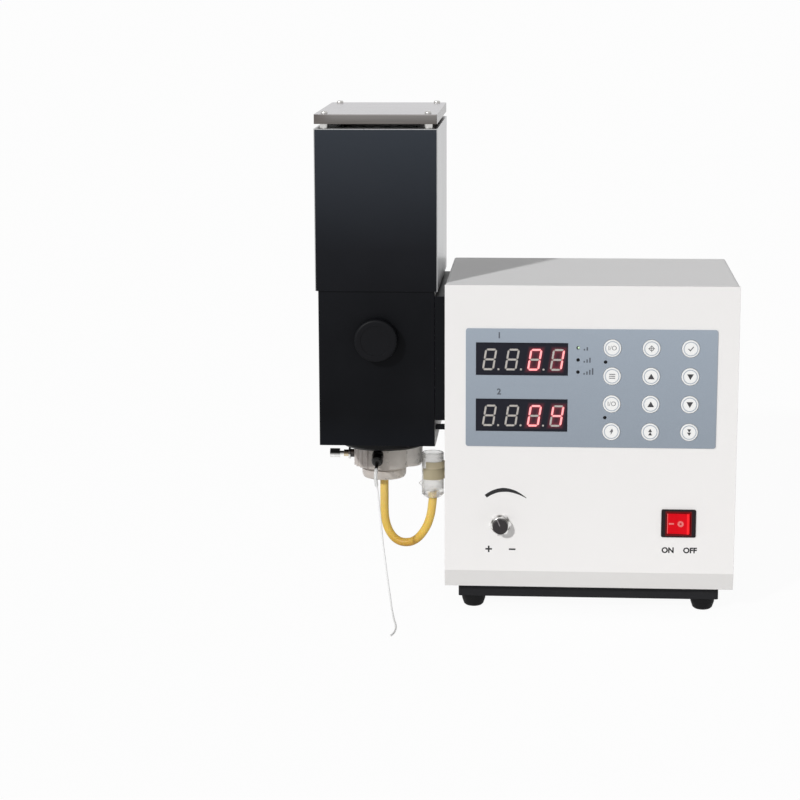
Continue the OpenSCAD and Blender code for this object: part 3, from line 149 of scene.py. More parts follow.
class PhotometerSizes(bpy.types.PropertyGroup):
    """Sizes of the soft lines, the printed marks and the fasteners."""

    hose_d: length_setting("Drain hose", "Outer diameter of the drain hose", 8.2 * MM)
    capillary_d: length_setting("Capillary", "Outer diameter of the sampling capillary", 1.8 * MM)
    sleeve_d: length_setting("Sleeve", "Diameter of the clear sleeve on the nebuliser's tip", 3.4 * MM)
    sleeve_l: length_setting("Sleeve length", "How far the clear sleeve reaches down", 17 * MM)
    print_t: length_setting("Print", "Thickness of the printed marks", 0.05 * MM)
    key_mark: length_setting("Key marks", "Height of the marks on the keys", 5.6 * MM)
    panel_mark: length_setting("Panel marks", "Height of the marks on the white panel", 7.0 * MM)
    recess_t: length_setting("Screw recess", "Depth of the cross recess in a screw head", 1.1 * MM)


class PhotometerColours(bpy.types.PropertyGroup):
    """Colours of the finishes."""

    panel_white: colour_setting("Front panel", "Powder paint of the front panel", (0.845, 0.83, 0.82))
    cover_grey: colour_setting("Cover", "Powder paint of the cabinet's cover", (0.885, 0.88, 0.88))
    tower_black: colour_setting(
        "Tower", "Satin paint of the burner tower, halfway up", (0.010, 0.0105, 0.0135)
    )
    film_blue: colour_setting("Keypad film", "Printed film of the keypad", (0.295, 0.342, 0.402))
    smoky: colour_setting("Mixing chamber", "Smoky moulded plastic", (0.70, 0.64, 0.61))
    khaki: colour_setting("Clip", "Spring band of the drain cup", (0.36, 0.31, 0.20))
    latex: colour_setting("Hose", "Translucent rubber of the drain hose", (0.74, 0.50, 0.095))
    rocker_red: colour_setting("Rocker", "Translucent red of the power switch", (0.54, 0.003, 0.009))
    segment_red: colour_setting("Lit segments", "Light of the lit digit bars", (1.0, 0.10, 0.14))


class PhotometerStudio(bpy.types.PropertyGroup):
    """Camera and light."""

    lens: FloatProperty(
        name="Lens", description="Focal length of the camera", default=99.0, subtype="DISTANCE_CAMERA"
    )
    key_strength: strength_setting("Key light", "Strength of the low key light", 2.0)
    key_height: angle_setting("Key height", "Angle of the key light above the floor", 27.0)
    key_side: angle_setting("Key side", "Angle of the key light left of the front", 30.5)
    soft_strength: strength_setting("Soft light", "Power of the broad light over the front", 4.0)
    fill: share_setting("Fill", "Light of the studio's walls", 0.32)
    white_share: share_setting("White floor", "Share of the floor that the camera sees as white", 0.95)


def settings(context):
    """The three groups of settings."""
    scene = context.scene
    return scene.photometer_sizes, scene.photometer_colours, scene.photometer_studio


# ---------------------------------------------------------------- finishes


def scaled(colour, factor, lift=0.0):
    """A colour times a factor, or times one factor for each channel, and lifted a little."""
    factors = factor if isinstance(factor, tuple) else (factor,) * 3
    return tuple(min(1.0, channel * share + lift) for channel, share in zip(colour, factors))


class Finish:
    """A material under construction: its shader, and short calls that add and join nodes."""

    def __init__(self, name, colour, roughness, **sockets):
        self.material = bpy.data.materials.new(name)
        self.material.use_nodes = True
        tree = self.material.node_tree
        self.nodes = tree.nodes
        self.links = tree.links
        self.shader = self.nodes["Principled BSDF"]
        self.material.diffuse_color = (*colour, 1.0)
        self.put("Base Color", (*colour, 1.0))
        self.put("Roughness", roughness)
        for socket, value in sockets.items():
            self.put(socket.replace("_", " "), value)
        self.colour = colour
        self.normal = None
        self.place = self.add("ShaderNodeTexCoord").outputs["Object"]

    def put(self, socket, value):
        """Set a socket of the shader, or join an output to it."""
        if isinstance(value, bpy.types.NodeSocket):
            self.links.new(value, self.shader.inputs[socket])
        else:
            self.shader.inputs[socket].default_value = value

    def add(self, kind, inputs=(), **settings):
        """Add a node, with its settings and its inputs."""
        node = self.nodes.new(kind)
        for name, value in settings.items():
            setattr(node, name, value)
        for socket, value in dict(inputs).items():
            if isinstance(value, bpy.types.NodeSocket):
                self.links.new(value, node.inputs[socket])
            else:
                node.inputs[socket].default_value = value
        return node

    def stretched(self, scale, shift=(0, 0, 0)):
        """The place on the piece, scaled along each axis and shifted."""
        inputs = {"Vector": self.place, "Scale": scale, "Location": shift}
        return self.add("ShaderNodeMapping", inputs).outputs[0]

    def noise(self, scale, detail, stretch=None):
        """A soft random pattern; its features are about 1 / scale metres wide."""
        where = self.stretched(stretch) if stretch else self.place
        inputs = {"Vector": where, "Scale": scale, "Detail": detail, "Roughness": 0.5}
        return self.add("ShaderNodeTexNoise", inputs).outputs["Fac"]

    def step(self, operation, a, b=0.0, blend=0.0):
        """One step of arithmetic."""
        return self.add("ShaderNodeMath", {0: a, 1: b, 2: blend}, operation=operation).outputs[0]

    def times(self, a, b):
        """Product of two values."""
        return self.step("MULTIPLY", a, b)

    def minus(self, a, b):
        """Difference of two values."""
        return self.step("SUBTRACT", a, b)

    def spread(self, factor, a, b, c=0.0, d=1.0):
        """Map a factor from the range a to b onto the range c to d."""
        return self.add("ShaderNodeMapRange", {0: factor, 1: a, 2: b, 3: c, 4: d}).outputs[0]

    def pattern(self, scale, detail, stretch=None, ends=(0.0, 1.0)):
        """A random pattern spread between two ends."""
        return self.spread(self.noise(scale, detail, stretch), 0.3, 0.7, *ends)

    def from_centre(self, centre):
        """Places across and up from a centre, in metres."""
        return self.minus(self.along("X"), centre.x), self.minus(self.along("Z"), centre.z)

    def along(self, axis):
        """Place along one axis, in metres."""
        return self.add("ShaderNodeSeparateXYZ", {"Vector": self.place}).outputs[axis]

    def beyond(self, axis, level, soft=0.05 * MM):
        """1 beyond a level along an axis, and 0 before it."""
        return self.spread(self.along(axis), level - soft, level + soft)

    def before(self, axis, level, soft=0.05 * MM):
        """1 before a level along an axis, and 0 beyond it."""
        return self.minus(1.0, self.beyond(axis, level, soft))

    def within(self, axis, start, end, soft=0.05 * MM):
        """1 between two levels along an axis, and 0 outside them."""
        return self.minus(self.beyond(axis, start, soft), self.beyond(axis, end, soft))

    def ramp(self, axis, stops):
        """Colours that change along an axis; each stop is a place in metres and a colour."""
        start, end = stops[0][0], stops[-1][0]
        node = self.add("ShaderNodeValToRGB", {"Fac": self.spread(self.along(axis), start, end)})
        elements = node.color_ramp.elements
        while len(elements) < len(stops):
            elements.new(0.5)
        for element, (level, colour) in zip(elements, stops):
            element.position = (level - start) / (end - start)
            element.color = (*colour, 1.0)
        return node.outputs["Color"]

    def blend(self, factor, a, b):
        """Mix two colours."""
        node = self.add("ShaderNodeMix", data_type="RGBA")
        for index, value in ((0, factor), (6, a), (7, b)):
            if isinstance(value, bpy.types.NodeSocket):
                self.links.new(value, node.inputs[index])
            elif index == 0:
                node.inputs[index].default_value = value
            else:
                node.inputs[index].default_value = (*value[:3], 1.0)
        return node.outputs[2]

    def tones(self, share, scale, stretch=None, other=None):
        """Vary the colour a little over the surface."""
        pattern = self.pattern(scale, 4.0, stretch)
        light = other or scaled(self.colour, 1 + share)
        mixed = self.blend(pattern, scaled(self.colour, 1 - share), light)
        self.put("Base Color", mixed)
        return mixed

    def rough(self, base, change, scale, stretch=None):
        """Vary the roughness a little over the surface."""
        self.put("Roughness", self.pattern(scale, 4.0, stretch, (base - change, base + change)))

    def edges(self, radius):
        """Round the sharp edges in shading."""
        self.normal = self.add("ShaderNodeBevel", {"Radius": radius}, samples=4).outputs[0]
        self.put("Normal", self.normal)

    def edge_mask(self, radius, wide=0.25):
        """1 along the sharp edges and 0 on flat faces."""
        round_normal = self.add("ShaderNodeBevel", {"Radius": radius}, samples=4).outputs[0]
        true_normal = self.add("ShaderNodeNewGeometry").outputs["True Normal"]
        dot = self.add("ShaderNodeVectorMath", {0: round_normal, 1: true_normal}, operation="DOT_PRODUCT")
        return self.spread(dot.outputs["Value"], 1.0 - wide, 0.995, 1.0, 0.0)

    def bumps(self, scale, height, stretch=None):
        """Raise a fine random relief of that height in metres."""
        inputs = {"Height": self.noise(scale, 2.0, stretch), "Strength": 1.0, "Distance": height}
        if self.normal is not None:
            inputs["Normal"] = self.normal
        self.normal = self.add("ShaderNodeBump", inputs).outputs[0]
        self.put("Normal", self.normal)


def powder_paint(name, colour, roughness, gloss, shaded_band_top=None):
    """Powder-coated sheet steel with faint orange peel, painted a touch greyer below the top of the foot
    band, as painted shade on that band, which leans to face the floor.
    """
    paint = Finish(name, colour, roughness, Specular_IOR_Level=gloss)
    toned = paint.tones(0.012, 5.0)
    # Painted shade: the leaning band at the panel's foot is painted a touch greyer
    if shaded_band_top is not None:
        painted_band_shade = scaled(colour, (0.865, 0.865, 0.86))
        paint.put("Base Color", paint.blend(paint.beyond("Z", shaded_band_top, 0.15 * MM), painted_band_shade, toned))
    paint.edges(0.5 * MM)
    paint.bumps(1400.0, 0.02 * MM)
    paint.rough(roughness, 0.04, 60.0)
    return paint.material


def satin_black_paint(name, colour, roughness):
    """Black stoved paint, a little worn to grey along its edges."""
    paint = Finish(name, colour, roughness, Specular_IOR_Level=0.12)
    mottled = paint.tones(0.10, 7.0)
    wear = paint.times(paint.edge_mask(0.5 * MM), 0.5)
    paint.put("Base Color", paint.blend(wear, mottled, scaled(colour, 2.5, 0.010)))
    paint.edges(0.5 * MM)
    paint.bumps(1800.0, 0.012 * MM)
    paint.rough(roughness, 0.05, 40.0)
    return paint.material


def tower_paint(name, colour, bare_behind=None):
    """Satin black sheet with painted light: paler and bluer towards the top and a little paler at its foot;
    behind a level it is bare steel.
    """
    paint = Finish(name, colour, 0.40, Specular_IOR_Level=0.07)
    foot, top = low("tower_housing").z, high("cover_plate").z
    # Painted light and shade: the black is graded with height, darkest a little above the foot and paler
    # towards the lit top
    shares = (
        (0.0, (0.35, 0.40, 0.45)), (0.10, (0.12, 0.14, 0.16)), (0.46, (0.25, 0.27, 0.28)),
        (0.62, (0.72, 0.74, 0.74)), (1.0, (3.3, 3.7, 3.6)),
    )
    stops = [(foot + share * (top - foot), scaled(colour, parts)) for share, parts in shares]
    shade = paint.ramp("Z", stops)
    worn = scaled(colour, 3.0, 0.012)
    shade = paint.blend(paint.times(paint.edge_mask(0.5 * MM), 0.4), shade, worn)
    shade = paint.blend(paint.spread(paint.noise(9.0, 4.0), 0.35, 0.75, 0.0, 0.10), shade, worn)
    paint.edges(0.5 * MM)
    paint.bumps(1800.0, 0.012 * MM)
    paint.rough(0.40, 0.05, 40.0)
    if bare_behind is not None:
        bare = paint.beyond("Y", bare_behind)
        streaks = paint.pattern(700.0, 4.0, (1.0, 1.0, 0.02))
        steel = paint.blend(streaks, (0.60, 0.60, 0.595), (0.72, 0.72, 0.715))
        shade = paint.blend(bare, shade, steel)
        paint.put("Metallic", bare)
        paint.put("Roughness", paint.spread(bare, 0.0, 1.0, 0.40, 0.28))
    paint.put("Base Color", shade)
    return paint.material


def brushed_steel(name, colour, roughness, grain_axis):
    """Sheet metal brushed along one axis, with fine streaks."""
    stretch = [1.0, 1.0, 1.0]
    stretch[grain_axis] = 0.02
    metal = Finish(name, colour, roughness, Metallic=1.0)
    metal.tones(0.10, 900.0, stretch)
    metal.edges(0.4 * MM)
    metal.bumps(2200.0, 0.006 * MM, stretch)
    metal.rough(roughness, 0.08, 500.0, stretch)
    return metal.material


def cover_steel(name, colour):
    """Brushed cover sheet; its folded top flange is painted nearly black, as painted shadow under the lid.
    """
    steel = Finish(name, colour, 0.32, Metallic=1.0)
    streaks = steel.tones(0.05, 900.0, (1.0, 1.0, 0.02))
    start, end = low("upper_cover"), high("upper_cover")
    # Painted shadow: the top flange inside the edges is painted nearly black
    inside = steel.within("X", start.x + 1.7 * MM, end.x - 1.7 * MM)
    inside = steel.times(inside, steel.within("Y", start.y + 1.8 * MM, end.y - 1.7 * MM))
    inside = steel.times(inside, steel.beyond("Z", end.z - 0.3 * MM))
    steel.put("Base Color", steel.blend(inside, streaks, (0.05, 0.042, 0.040)))
    steel.edges(0.4 * MM)
    steel.bumps(2200.0, 0.005 * MM, (1.0, 1.0, 0.02))
    steel.rough(0.32, 0.06, 500.0, (1.0, 1.0, 0.02))
    return steel.material


def lid_steel(name, colour):
    """Brushed lid with its light painted on by face: pale on top, grey on its side rims, and brown-grey on
    its front rim, which is painted darker at its foot and its left end, with a painted highlight along its
    upper edge.
    """
    steel = Finish(name, colour, 0.30, Metallic=1.0)
    start, end = low("lid"), high("lid")
    # Painted shade and highlight on the rims: dark at the foot, a painted highlight along the upper edge
    rim = steel.ramp("Z", (
        (start.z, (0.098, 0.088, 0.083)), (start.z + 3.5 * MM, (0.155, 0.146, 0.141)),
        (end.z - 1.6 * MM, (0.195, 0.184, 0.179)), (end.z, (0.36, 0.34, 0.33)),
    ))
    streaks = steel.noise(900.0, 4.0, (0.02, 1.0, 1.0))
    rim = steel.blend(steel.spread(streaks, 0.3, 0.7, 0.0, 0.35), rim, (0.215, 0.20, 0.19))
    # Painted shade: the front rim darker towards its left end
    rim = steel.blend(steel.beyond("X", start.x + 9 * MM, 8 * MM), (0.135, 0.12, 0.113), rim)
    # Painted light: the side rims grey, and the top pale where it faces up
    shade = steel.blend(steel.beyond("Y", start.y + 0.6 * MM), rim, (0.29, 0.285, 0.285))
    pale = steel.blend(steel.spread(streaks, 0.3, 0.7), (0.402, 0.392, 0.407), (0.455, 0.445, 0.46))
    steel.put("Base Color", steel.blend(steel.beyond("Z", end.z - 0.15 * MM), shade, pale))
    steel.edges(0.4 * MM)
    steel.bumps(2200.0, 0.005 * MM, (0.02, 1.0, 1.0))
    steel.rough(0.30, 0.06, 500.0, (0.02, 1.0, 1.0))
    return steel.material


def turned_metal(name, colour, roughness):
    """Turned or plated metal with fine tool marks."""
    metal = Finish(name, colour, roughness, Metallic=1.0)
    metal.tones(0.05, 120.0)
    metal.edges(0.25 * MM)
    metal.bumps(2500.0, 0.004 * MM)
    metal.rough(roughness, 0.05, 300.0)
    return metal.material


def moulded_plastic(name, colour, roughness, **sockets):
    """Moulded plastic with a fine spark-eroded grain."""
    plastic = Finish(name, colour, roughness, **sockets)
    plastic.tones(0.06, 60.0)
    plastic.edges(0.3 * MM)
    plastic.bumps(2600.0, 0.012 * MM)
    plastic.rough(roughness, 0.05, 200.0)
    return plastic.material


def soft_rubber(name, colour):
    """Moulded rubber, dull and slightly dusty."""
    rubber = Finish(name, colour, 0.62, Specular_IOR_Level=0.12)
    rubber.tones(0.1, 90.0, other=scaled(colour, 1.5, 0.003))
    rubber.edges(0.4 * MM)
    rubber.bumps(1500.0, 0.03 * MM)
    return rubber.material


def keypad_film(name, colour):
    """Printed polycarbonate film: fine texture, and a painted light gradient that makes it a touch lighter
    at its top.
    """
    film = Finish(name, colour, 0.38, Specular_IOR_Level=0.45)
    start, end = low("keypad_plate").z, high("keypad_plate").z
    # Painted light: the film's colour is graded with height, darker low down and lighter at the top
    height = film.spread(film.along("Z"), start, end)
    graded = film.blend(height, scaled(colour, 0.88), scaled(colour, 1.06))
    flecks = film.spread(film.noise(1300.0, 2.0), 0.35, 0.65, 0.0, 0.05)
    film.put("Base Color", film.blend(flecks, graded, (0.62, 0.66, 0.72)))
    film.edges(0.15 * MM)
    film.bumps(2400.0, 0.010 * MM)
    film.rough(0.38, 0.04, 80.0)
    return film.material


def display_window(name, lit_spots, red):
    """Dark display window, with a painted red glow on the filter round the bars of each lit digit."""
    glass = Finish(name, (0.011, 0.0115, 0.019), 0.20, Specular_IOR_Level=0.15)
    rings = [glow_ring(glass, spot) for spot in lit_spots]
    # Painted glow: the filter itself emits red round the lit digits
    glass.put("Emission Color", (*red, 1.0))
    glass.put("Emission Strength", glass.times(glass.step("MAXIMUM", *rings), GLOW))
    glass.tones(0.05, 200.0)
    glass.bumps(700.0, 0.004 * MM)
    return glass.material


def glow_ring(glass, spot):
    """Painted glow that is strongest along the bars of a digit's slanted outline, and fades on both sides.
    """
    across, up = glass.from_centre(spot)
    across = glass.minus(across, glass.times(up, tan(DIGIT_SLANT)))
    beyond = [
        glass.minus(glass.step("ABSOLUTE", value), half)
        for value, half in ((across, DIGIT_HALF_W), (up, DIGIT_HALF_H))
    ]
    away = glass.step("SMOOTH_MAX", *beyond, blend=2.0 * MM)
    outside = glass.spread(away, 0.0, GLOW_OUTSIDE, 1.0, 0.0)
    inside = glass.spread(away, -GLOW_INSIDE, -0.5 * MM, 0.28, 1.0)
    return glass.times(glass.times(outside, outside), inside)


def ink(name, colour, roughness=0.5):
    """Screen-printed ink."""
    print_ink = Finish(name, colour, roughness, Specular_IOR_Level=0.3)
    print_ink.tones(0.15, 400.0)
    print_ink.bumps(3000.0, 0.003 * MM)
    return print_ink.material


def clear_plastic(name, colour, roughness, share, ior=1.49, grain=0.01 * MM):
    """Moulded clear or smoky plastic that light passes through."""
    plastic = Finish(name, colour, roughness, Transmission_Weight=share, IOR=ior)
    plastic.tones(0.03, 70.0)
    plastic.edges(0.3 * MM)
    plastic.bumps(420.0, grain)
    plastic.rough(roughness, 0.04, 120.0)
    return plastic.material


def tube_plastic(name, colour):
    """Milky drawn tube, smooth and even along its length."""
    plastic = Finish(name, colour, 0.45, Specular_IOR_Level=0.2)
    plastic.tones(0.03, 40.0)
    plastic.rough(0.45, 0.05, 90.0)
    return plastic.material


def latex_rubber(name, colour):
    """Translucent rubber tube with painted shading: deeper in colour low in its bend and paler at its top.
    """
    rubber = Finish(
        name, colour, 0.42, Subsurface_Weight=0.30, Subsurface_Scale=0.003, Specular_IOR_Level=0.3
    )
    rubber.put("Subsurface Radius", (1.0, 0.5, 0.12))
    floor, top = low("drain_hose").z, high("drain_hose").z
    # Painted shading: deeper low down, paler at the top
    deep = scaled(colour, (0.66, 0.53, 0.38))
    pale = scaled(colour, (1.0, 1.08, 1.7))
    shade = rubber.ramp("Z", ((floor, deep), (floor + 16 * MM, colour), (top, pale)))
    clouds = rubber.pattern(150.0, 3.0, ends=(0.0, 0.12))
    rubber.put("Base Color", rubber.blend(clouds, shade, deep))
    rubber.bumps(260.0, 0.02 * MM)
    return rubber.material


def circuit_board(name, colour):
    """Coated board with a faint pattern of tracks."""
    board = Finish(name, colour, 0.35, Coat_Weight=0.3)
    tracks = board.add(
        "ShaderNodeTexBrick", {"Vector": board.place, "Scale": 140.0, "Mortar Size": 0.03}
    ).outputs["Fac"]
    board.put("Base Color", board.blend(tracks, colour, scaled(colour, 1.5, 0.01)))
    board.bumps(900.0, 0.01 * MM)
    return board.material


def dress(material, *names):
    """Give CAD nodes their finish."""
    for name in names:
        mesh = NODES[name].data
        mesh.materials.clear()
        mesh.materials.append(material)


# ---------------------------------------------------------------- making pieces


def piece(name, mesh, material, body):
    """A new piece that rides on a body and wears the finish it is given."""
    made = bpy.data.objects.new(name, mesh)
    bpy.context.scene.collection.objects.link(made)
    made.data.materials.clear()
    made.data.materials.append(material)
    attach(made, body)
    return made


def mesh_from(name, build):
    """A mesh that build fills in, with its faces turned outwards."""
    mesh = bpy.data.meshes.new(name)
    shape = bmesh.new()
    build(shape)
    bmesh.ops.recalc_face_normals(shape, faces=shape.faces)
    shape.to_mesh(mesh)
    shape.free()
    return mesh


def add_plate(shape, outline, place, thickness):
    """A flat print: an outline in the panel's plane, put in place and given a thickness."""
    back = [shape.verts.new(place @ Vector((x, 0.0, z))) for x, z in outline]
    front = [shape.verts.new(place @ Vector((x, -thickness, z))) for x, z in outline]
    shape.faces.new(back)
    shape.faces.new(list(reversed(front)))
    count = len(outline)
    for i in range(count):
        j = (i + 1) % count
        shape.faces.new((back[i], front[i], front[j], back[j]))


def printed(name, outlines, place, thickness, scale):
    """A mesh of flat prints, from outlines in the panel's plane times a scale."""
    def build(shape):
        for outline in outlines:
            add_plate(shape, [(x * scale, z * scale) for x, z in outline], place, thickness)
    return mesh_from(name, build)


def add_rings(shape, place, profile, count):
    """A turned shape: each point of the profile is a radius and a height."""
    rings = []
    for radius, height in profile:
        around = [(0.0, 0.0)] if radius == 0.0 else circle_outline(0, 0, radius, count)
        rings.append([shape.verts.new(place @ Vector((x, y, height))) for x, y in around])
    for lower, upper in zip(rings, rings[1:]):
        for i in range(count):
            j = (i + 1) % count
            if len(lower) == 1:
                shape.faces.new((lower[0], upper[i], upper[j]))
            else:
                shape.faces.new((lower[i], lower[j], upper[j], upper[i]))


def circle_outline(x, z, radius, count=32):
    """Points of a circle."""
    turns = [2 * pi * i / count for i in range(count)]
    return [(x + radius * cos(turn), z + radius * sin(turn)) for turn in turns]


def bar_outline(x, z, width, height):
    """Corners of a rectangle about its centre."""
    w, h = width / 2, height / 2
    return [(x - w, z - h), (x + w, z - h), (x + w, z + h), (x - w, z + h)]


def stroke_outline(a, b, width):
    """Corners of a straight stroke from a to b."""
    a, b = Vector(a), Vector(b)
    along = (b - a).normalized()
    side = Vector((-along.y, along.x)) * width / 2
    return [tuple(a - side), tuple(b - side), tuple(b + side), tuple(a + side)]


def ring_strokes(x, z, radius, width, count=24):
    """A ring made of short strokes."""
    points = circle_outline(x, z, radius, count)
    return [stroke_outline(points[i], points[(i + 1) % count], width) for i in range(count)]


def written(text, height, place, thickness, name, bold=0.0):
    """A mesh of plain characters, centred, that faces the front; bold widens their strokes."""
    curve = bpy.data.curves.new(name + "_text", "FONT")
    curve.body = text
    curve.size = height / 0.7
    curve.align_x = "CENTER"
    curve.align_y = "CENTER"
    curve.extrude = thickness / 2
    curve.offset = bold * height
    holder = bpy.data.objects.new(name + "_text", curve)
    mesh = bpy.data.meshes.new_from_object(holder)
    mesh.name = name
    bpy.data.objects.remove(holder)
    bpy.data.curves.remove(curve)
    mesh.transform(place @ Matrix.Rotation(pi / 2, 4, "X"))
    return mesh


def smooth_route(points, steps=6):
    """A smooth line through the points, with steps short stretches between each two."""
    line = []
    last = len(points) - 1
    for i in range(last):
        before, start = points[max(i - 1, 0)], points[i]
        end, after = points[i + 1], points[min(i + 2, last)]
        for k in range(steps):
            t = k / steps
            line.append(
                0.5 * (
                    2 * start + (end - before) * t + (2 * before - 5 * start + 4 * end - after) * t * t
                    + (3 * start - before - 3 * end + after) * t * t * t
                )
            )
    line.append(points[last])
    return line


def tube_curve(name, line, diameter):
    """A round tube along a line, as a curve."""
    curve = bpy.data.curves.new(name, "CURVE")
    curve.dimensions = "3D"
    curve.bevel_depth = diameter / 2
    curve.bevel_resolution = 6
    curve.use_fill_caps = True
    spline = curve.splines.new("POLY")
    spline.points.add(len(line) - 1)
    for point, at in zip(spline.points, line):
        point.co = (*at, 1.0)
    spline.use_smooth = True
    return curve


# ---------------------------------------------------------------- camera


# The camera's place in millimetres from the cabinet's corner, and its turns in degrees: to the
# left, up from level, and about its own axis
CAMERA_PLACE = (100.13, -2000.45, 605.09)
CAMERA_LEFT = 4.0537
CAMERA_UP = -11.3156
CAMERA_ROLL = -0.2159


class PHOTOMETER_OT_camera(bpy.types.Operator):
    """Place the camera at the photograph's point of view"""

    bl_idname = "photometer.camera"
    bl_label = "Camera"

    def execute(self, context):
        studio = settings(context)[2]
        camera = bpy.data.cameras.new("camera")
        camera.lens = studio.lens
        camera.sensor_width = 36.0
        camera.clip_start = 0.05
        camera.clip_end = 400.0
        turn = Matrix.Rotation(radians(CAMERA_LEFT), 4, "Z")
        turn = turn @ Matrix.Rotation(radians(90 + CAMERA_UP), 4, "X")
        turn = turn @ Matrix.Rotation(radians(CAMERA_ROLL), 4, "Z")
        holder = bpy.data.objects.new("camera", camera)
        holder.matrix_world = Matrix.Translation(from_corner(*CAMERA_PLACE)) @ turn
        context.scene.collection.objects.link(holder)
        context.scene.camera = holder
        return {"FINISHED"}


# ---------------------------------------------------------------- soft lines

# Route points and lengths in millimetres from the cabinet's lower left front corner, as in the solids
HOSE_START = (-63.3, 86, 111)
HOSE_ROUTE = [
    (-63.3, 86, 101.5), (-63.3, 86, 89.5), (-63.3, 86, 77.5), (-62.7, 86, 68.9), (-60.8, 86, 60.8),
    (-57.7, 85.7, 54), (-53.4, 84.7, 48.9), (-48.1, 83.4, 46), (-42.2, 81.8, 45.4), (-35.9, 80.2, 46.9),
    (-29.8, 78.6, 51.2), (-24.6, 77.3, 57.8), (-20.3, 76.3, 66), (-17.4, 76, 75.6), (-16.1, 76, 84.8),
    (-15.4, 76, 91.8),
]
HOSE_END = (-15.4, 76, 99.5)
TIP_ANGLE = radians(25.0)
TIP_REACH = 24.0
LEAD_OUT = 3.0
NEBULISER_ROOT = (-67.3, 59.3, 138.5)
CAPILLARY_ROUTE = [
    (-67.6, 32.5, 123), (-67, 32, 116.9), (-65.5, 31.5, 108.3), (-63, 29, 85), (-60.5, 24, 61.7),
    (-57.5, 17.6, 42.5), (-54, 7.1, 23.8), (-51.5, -2, 13.1), (-49.5, -11.4, 6.1), (-47.5, -21.1, 2.4),
    (-46, -31, 1.1), (-44, -42, 1), (-42.7, -52, 1), (-42.2, -63, 1), (-43.2, -74, 1),
    (-45.5, -83, 1),
]


def tip_point(reach):
    """A point on the nebuliser's axis, so many millimetres out of the chamber's wall."""
    x, y, z = NEBULISER_ROOT
    return (x, y - reach * cos(TIP_ANGLE), z - reach * sin(TIP_ANGLE))


class PHOTOMETER_OT_drain_hose(bpy.types.Operator):
    """Make the yellow drain hose from the chamber's base to the cup"""

    bl_idname = "photometer.drain_hose"
    bl_label = "Drain hose"

    def execute(self, context):
        sizes, colours, _ = settings(context)
        points = [from_corner(*point) for point in (HOSE_START, *HOSE_ROUTE, HOSE_END)]
        line = smooth_route(points)
        curve = tube_curve("hose", line, sizes.hose_d)
        hose = piece("hose", curve, latex_rubber("latex", colours.latex), HOUSING)
        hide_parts("drain_hose")
        return {"FINISHED"}


class PHOTOMETER_OT_capillary(bpy.types.Operator):
    """Make the sampling capillary and the clear sleeve at its root"""

    bl_idname = "photometer.capillary"
    bl_label = "Sampling capillary"

    def execute(self, context):
        sizes = settings(context)[0]
        points = [from_corner(*tip_point(TIP_REACH)), from_corner(*tip_point(TIP_REACH + LEAD_OUT))]
        points += [from_corner(*point) for point in CAPILLARY_ROUTE]
        line = smooth_route(points)
        finish = tube_plastic("capillary_plastic", (0.86, 0.86, 0.855))
        curve = tube_curve("sampling_line", line, sizes.capillary_d)
        tube = piece("sampling_line", curve, finish, HOUSING)
        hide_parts("capillary")
        sleeve = self.sleeve(line, sizes)
        return {"FINISHED"}

    def sleeve(self, line, sizes):
        """Clear sleeve round the first stretch of the tube."""
        along, reach = [line[0]], 0.0
        for a, b in zip(line, line[1:]):
            reach += (b - a).length
            along.append(b)
            if reach >= sizes.sleeve_l:
                break
        finish = clear_plastic("sleeve_plastic", (0.93, 0.93, 0.92), 0.35, 0.5, grain=0.001 * MM)
        curve = tube_curve("sleeve", along, sizes.sleeve_d)
        return piece("sleeve", curve, finish, HOUSING)


# ---------------------------------------------------------------- cabinet


# Height of the leaning band at the panel's foot, in metres
FOOT_BAND = 16 * MM


class PHOTOMETER_OT_cabinet(bpy.types.Operator):
    """Paint the cabinet's sheets, its base tray and its feet"""

    bl_idname = "photometer.cabinet"
    bl_label = "Cabinet"

    def execute(self, context):
        colours = settings(context)[1]
        shaded_band_top = low("front_panel").z + FOOT_BAND
        dress(powder_paint("panel_paint", colours.panel_white, 0.5, 0.3, shaded_band_top), "front_panel")
        cover = powder_paint("cover_paint", colours.cover_grey, 0.62, 0.05)
        dress(cover, "cabinet_cover", "rear_panel")
        dress(satin_black_paint("tray_paint", (0.014, 0.014, 0.0155), 0.5), "base_tray")
        dress(soft_rubber("feet_rubber", (0.0050, 0.0050, 0.0054)), "feet")
        dress(brushed_steel("chassis_zinc", (0.62, 0.63, 0.62), 0.34, 0), "chassis_plate")
        return {"FINISHED"}


class PHOTOMETER_OT_inside(bpy.types.Operator):
    """Finish the pieces inside the cabinet and the fittings in its back"""

    bl_idname = "photometer.inside"
    bl_label = "Inside and rear fittings"

    def execute(self, context):
        dress(circuit_board("board_coat", (0.02, 0.12, 0.05)), "panel_board", "main_board")
        dress(turned_metal("core_varnish", (0.10, 0.08, 0.07), 0.5), "power_transformer")
        black = moulded_plastic("black_plastic", (0.012, 0.012, 0.013), 0.4)
        dress(black, "detector_block", "mains_inlet", "fuse_holder")
        brass = turned_metal("brass", (0.74, 0.52, 0.22), 0.28)
        dress(brass, "valve_body", "hose_fittings", "valve_spindle")
        return {"FINISHED"}


# ---------------------------------------------------------------- keypad panel


# The lit lamp, in metres: its middle from the upper left corner of the lamps' box, and its reach
LIT_LAMP = Vector((2.3, 0.0, -1.3)) * MM
LIT_LAMP_REACH = 1.7 * MM

# The grey ring near the edge of each key, in metres: its radius and half its width
KEY_RING_R = 6.33 * MM
KEY_RING_HALF_W = 0.47 * MM
KEY_WHITE = (0.86, 0.86, 0.85)


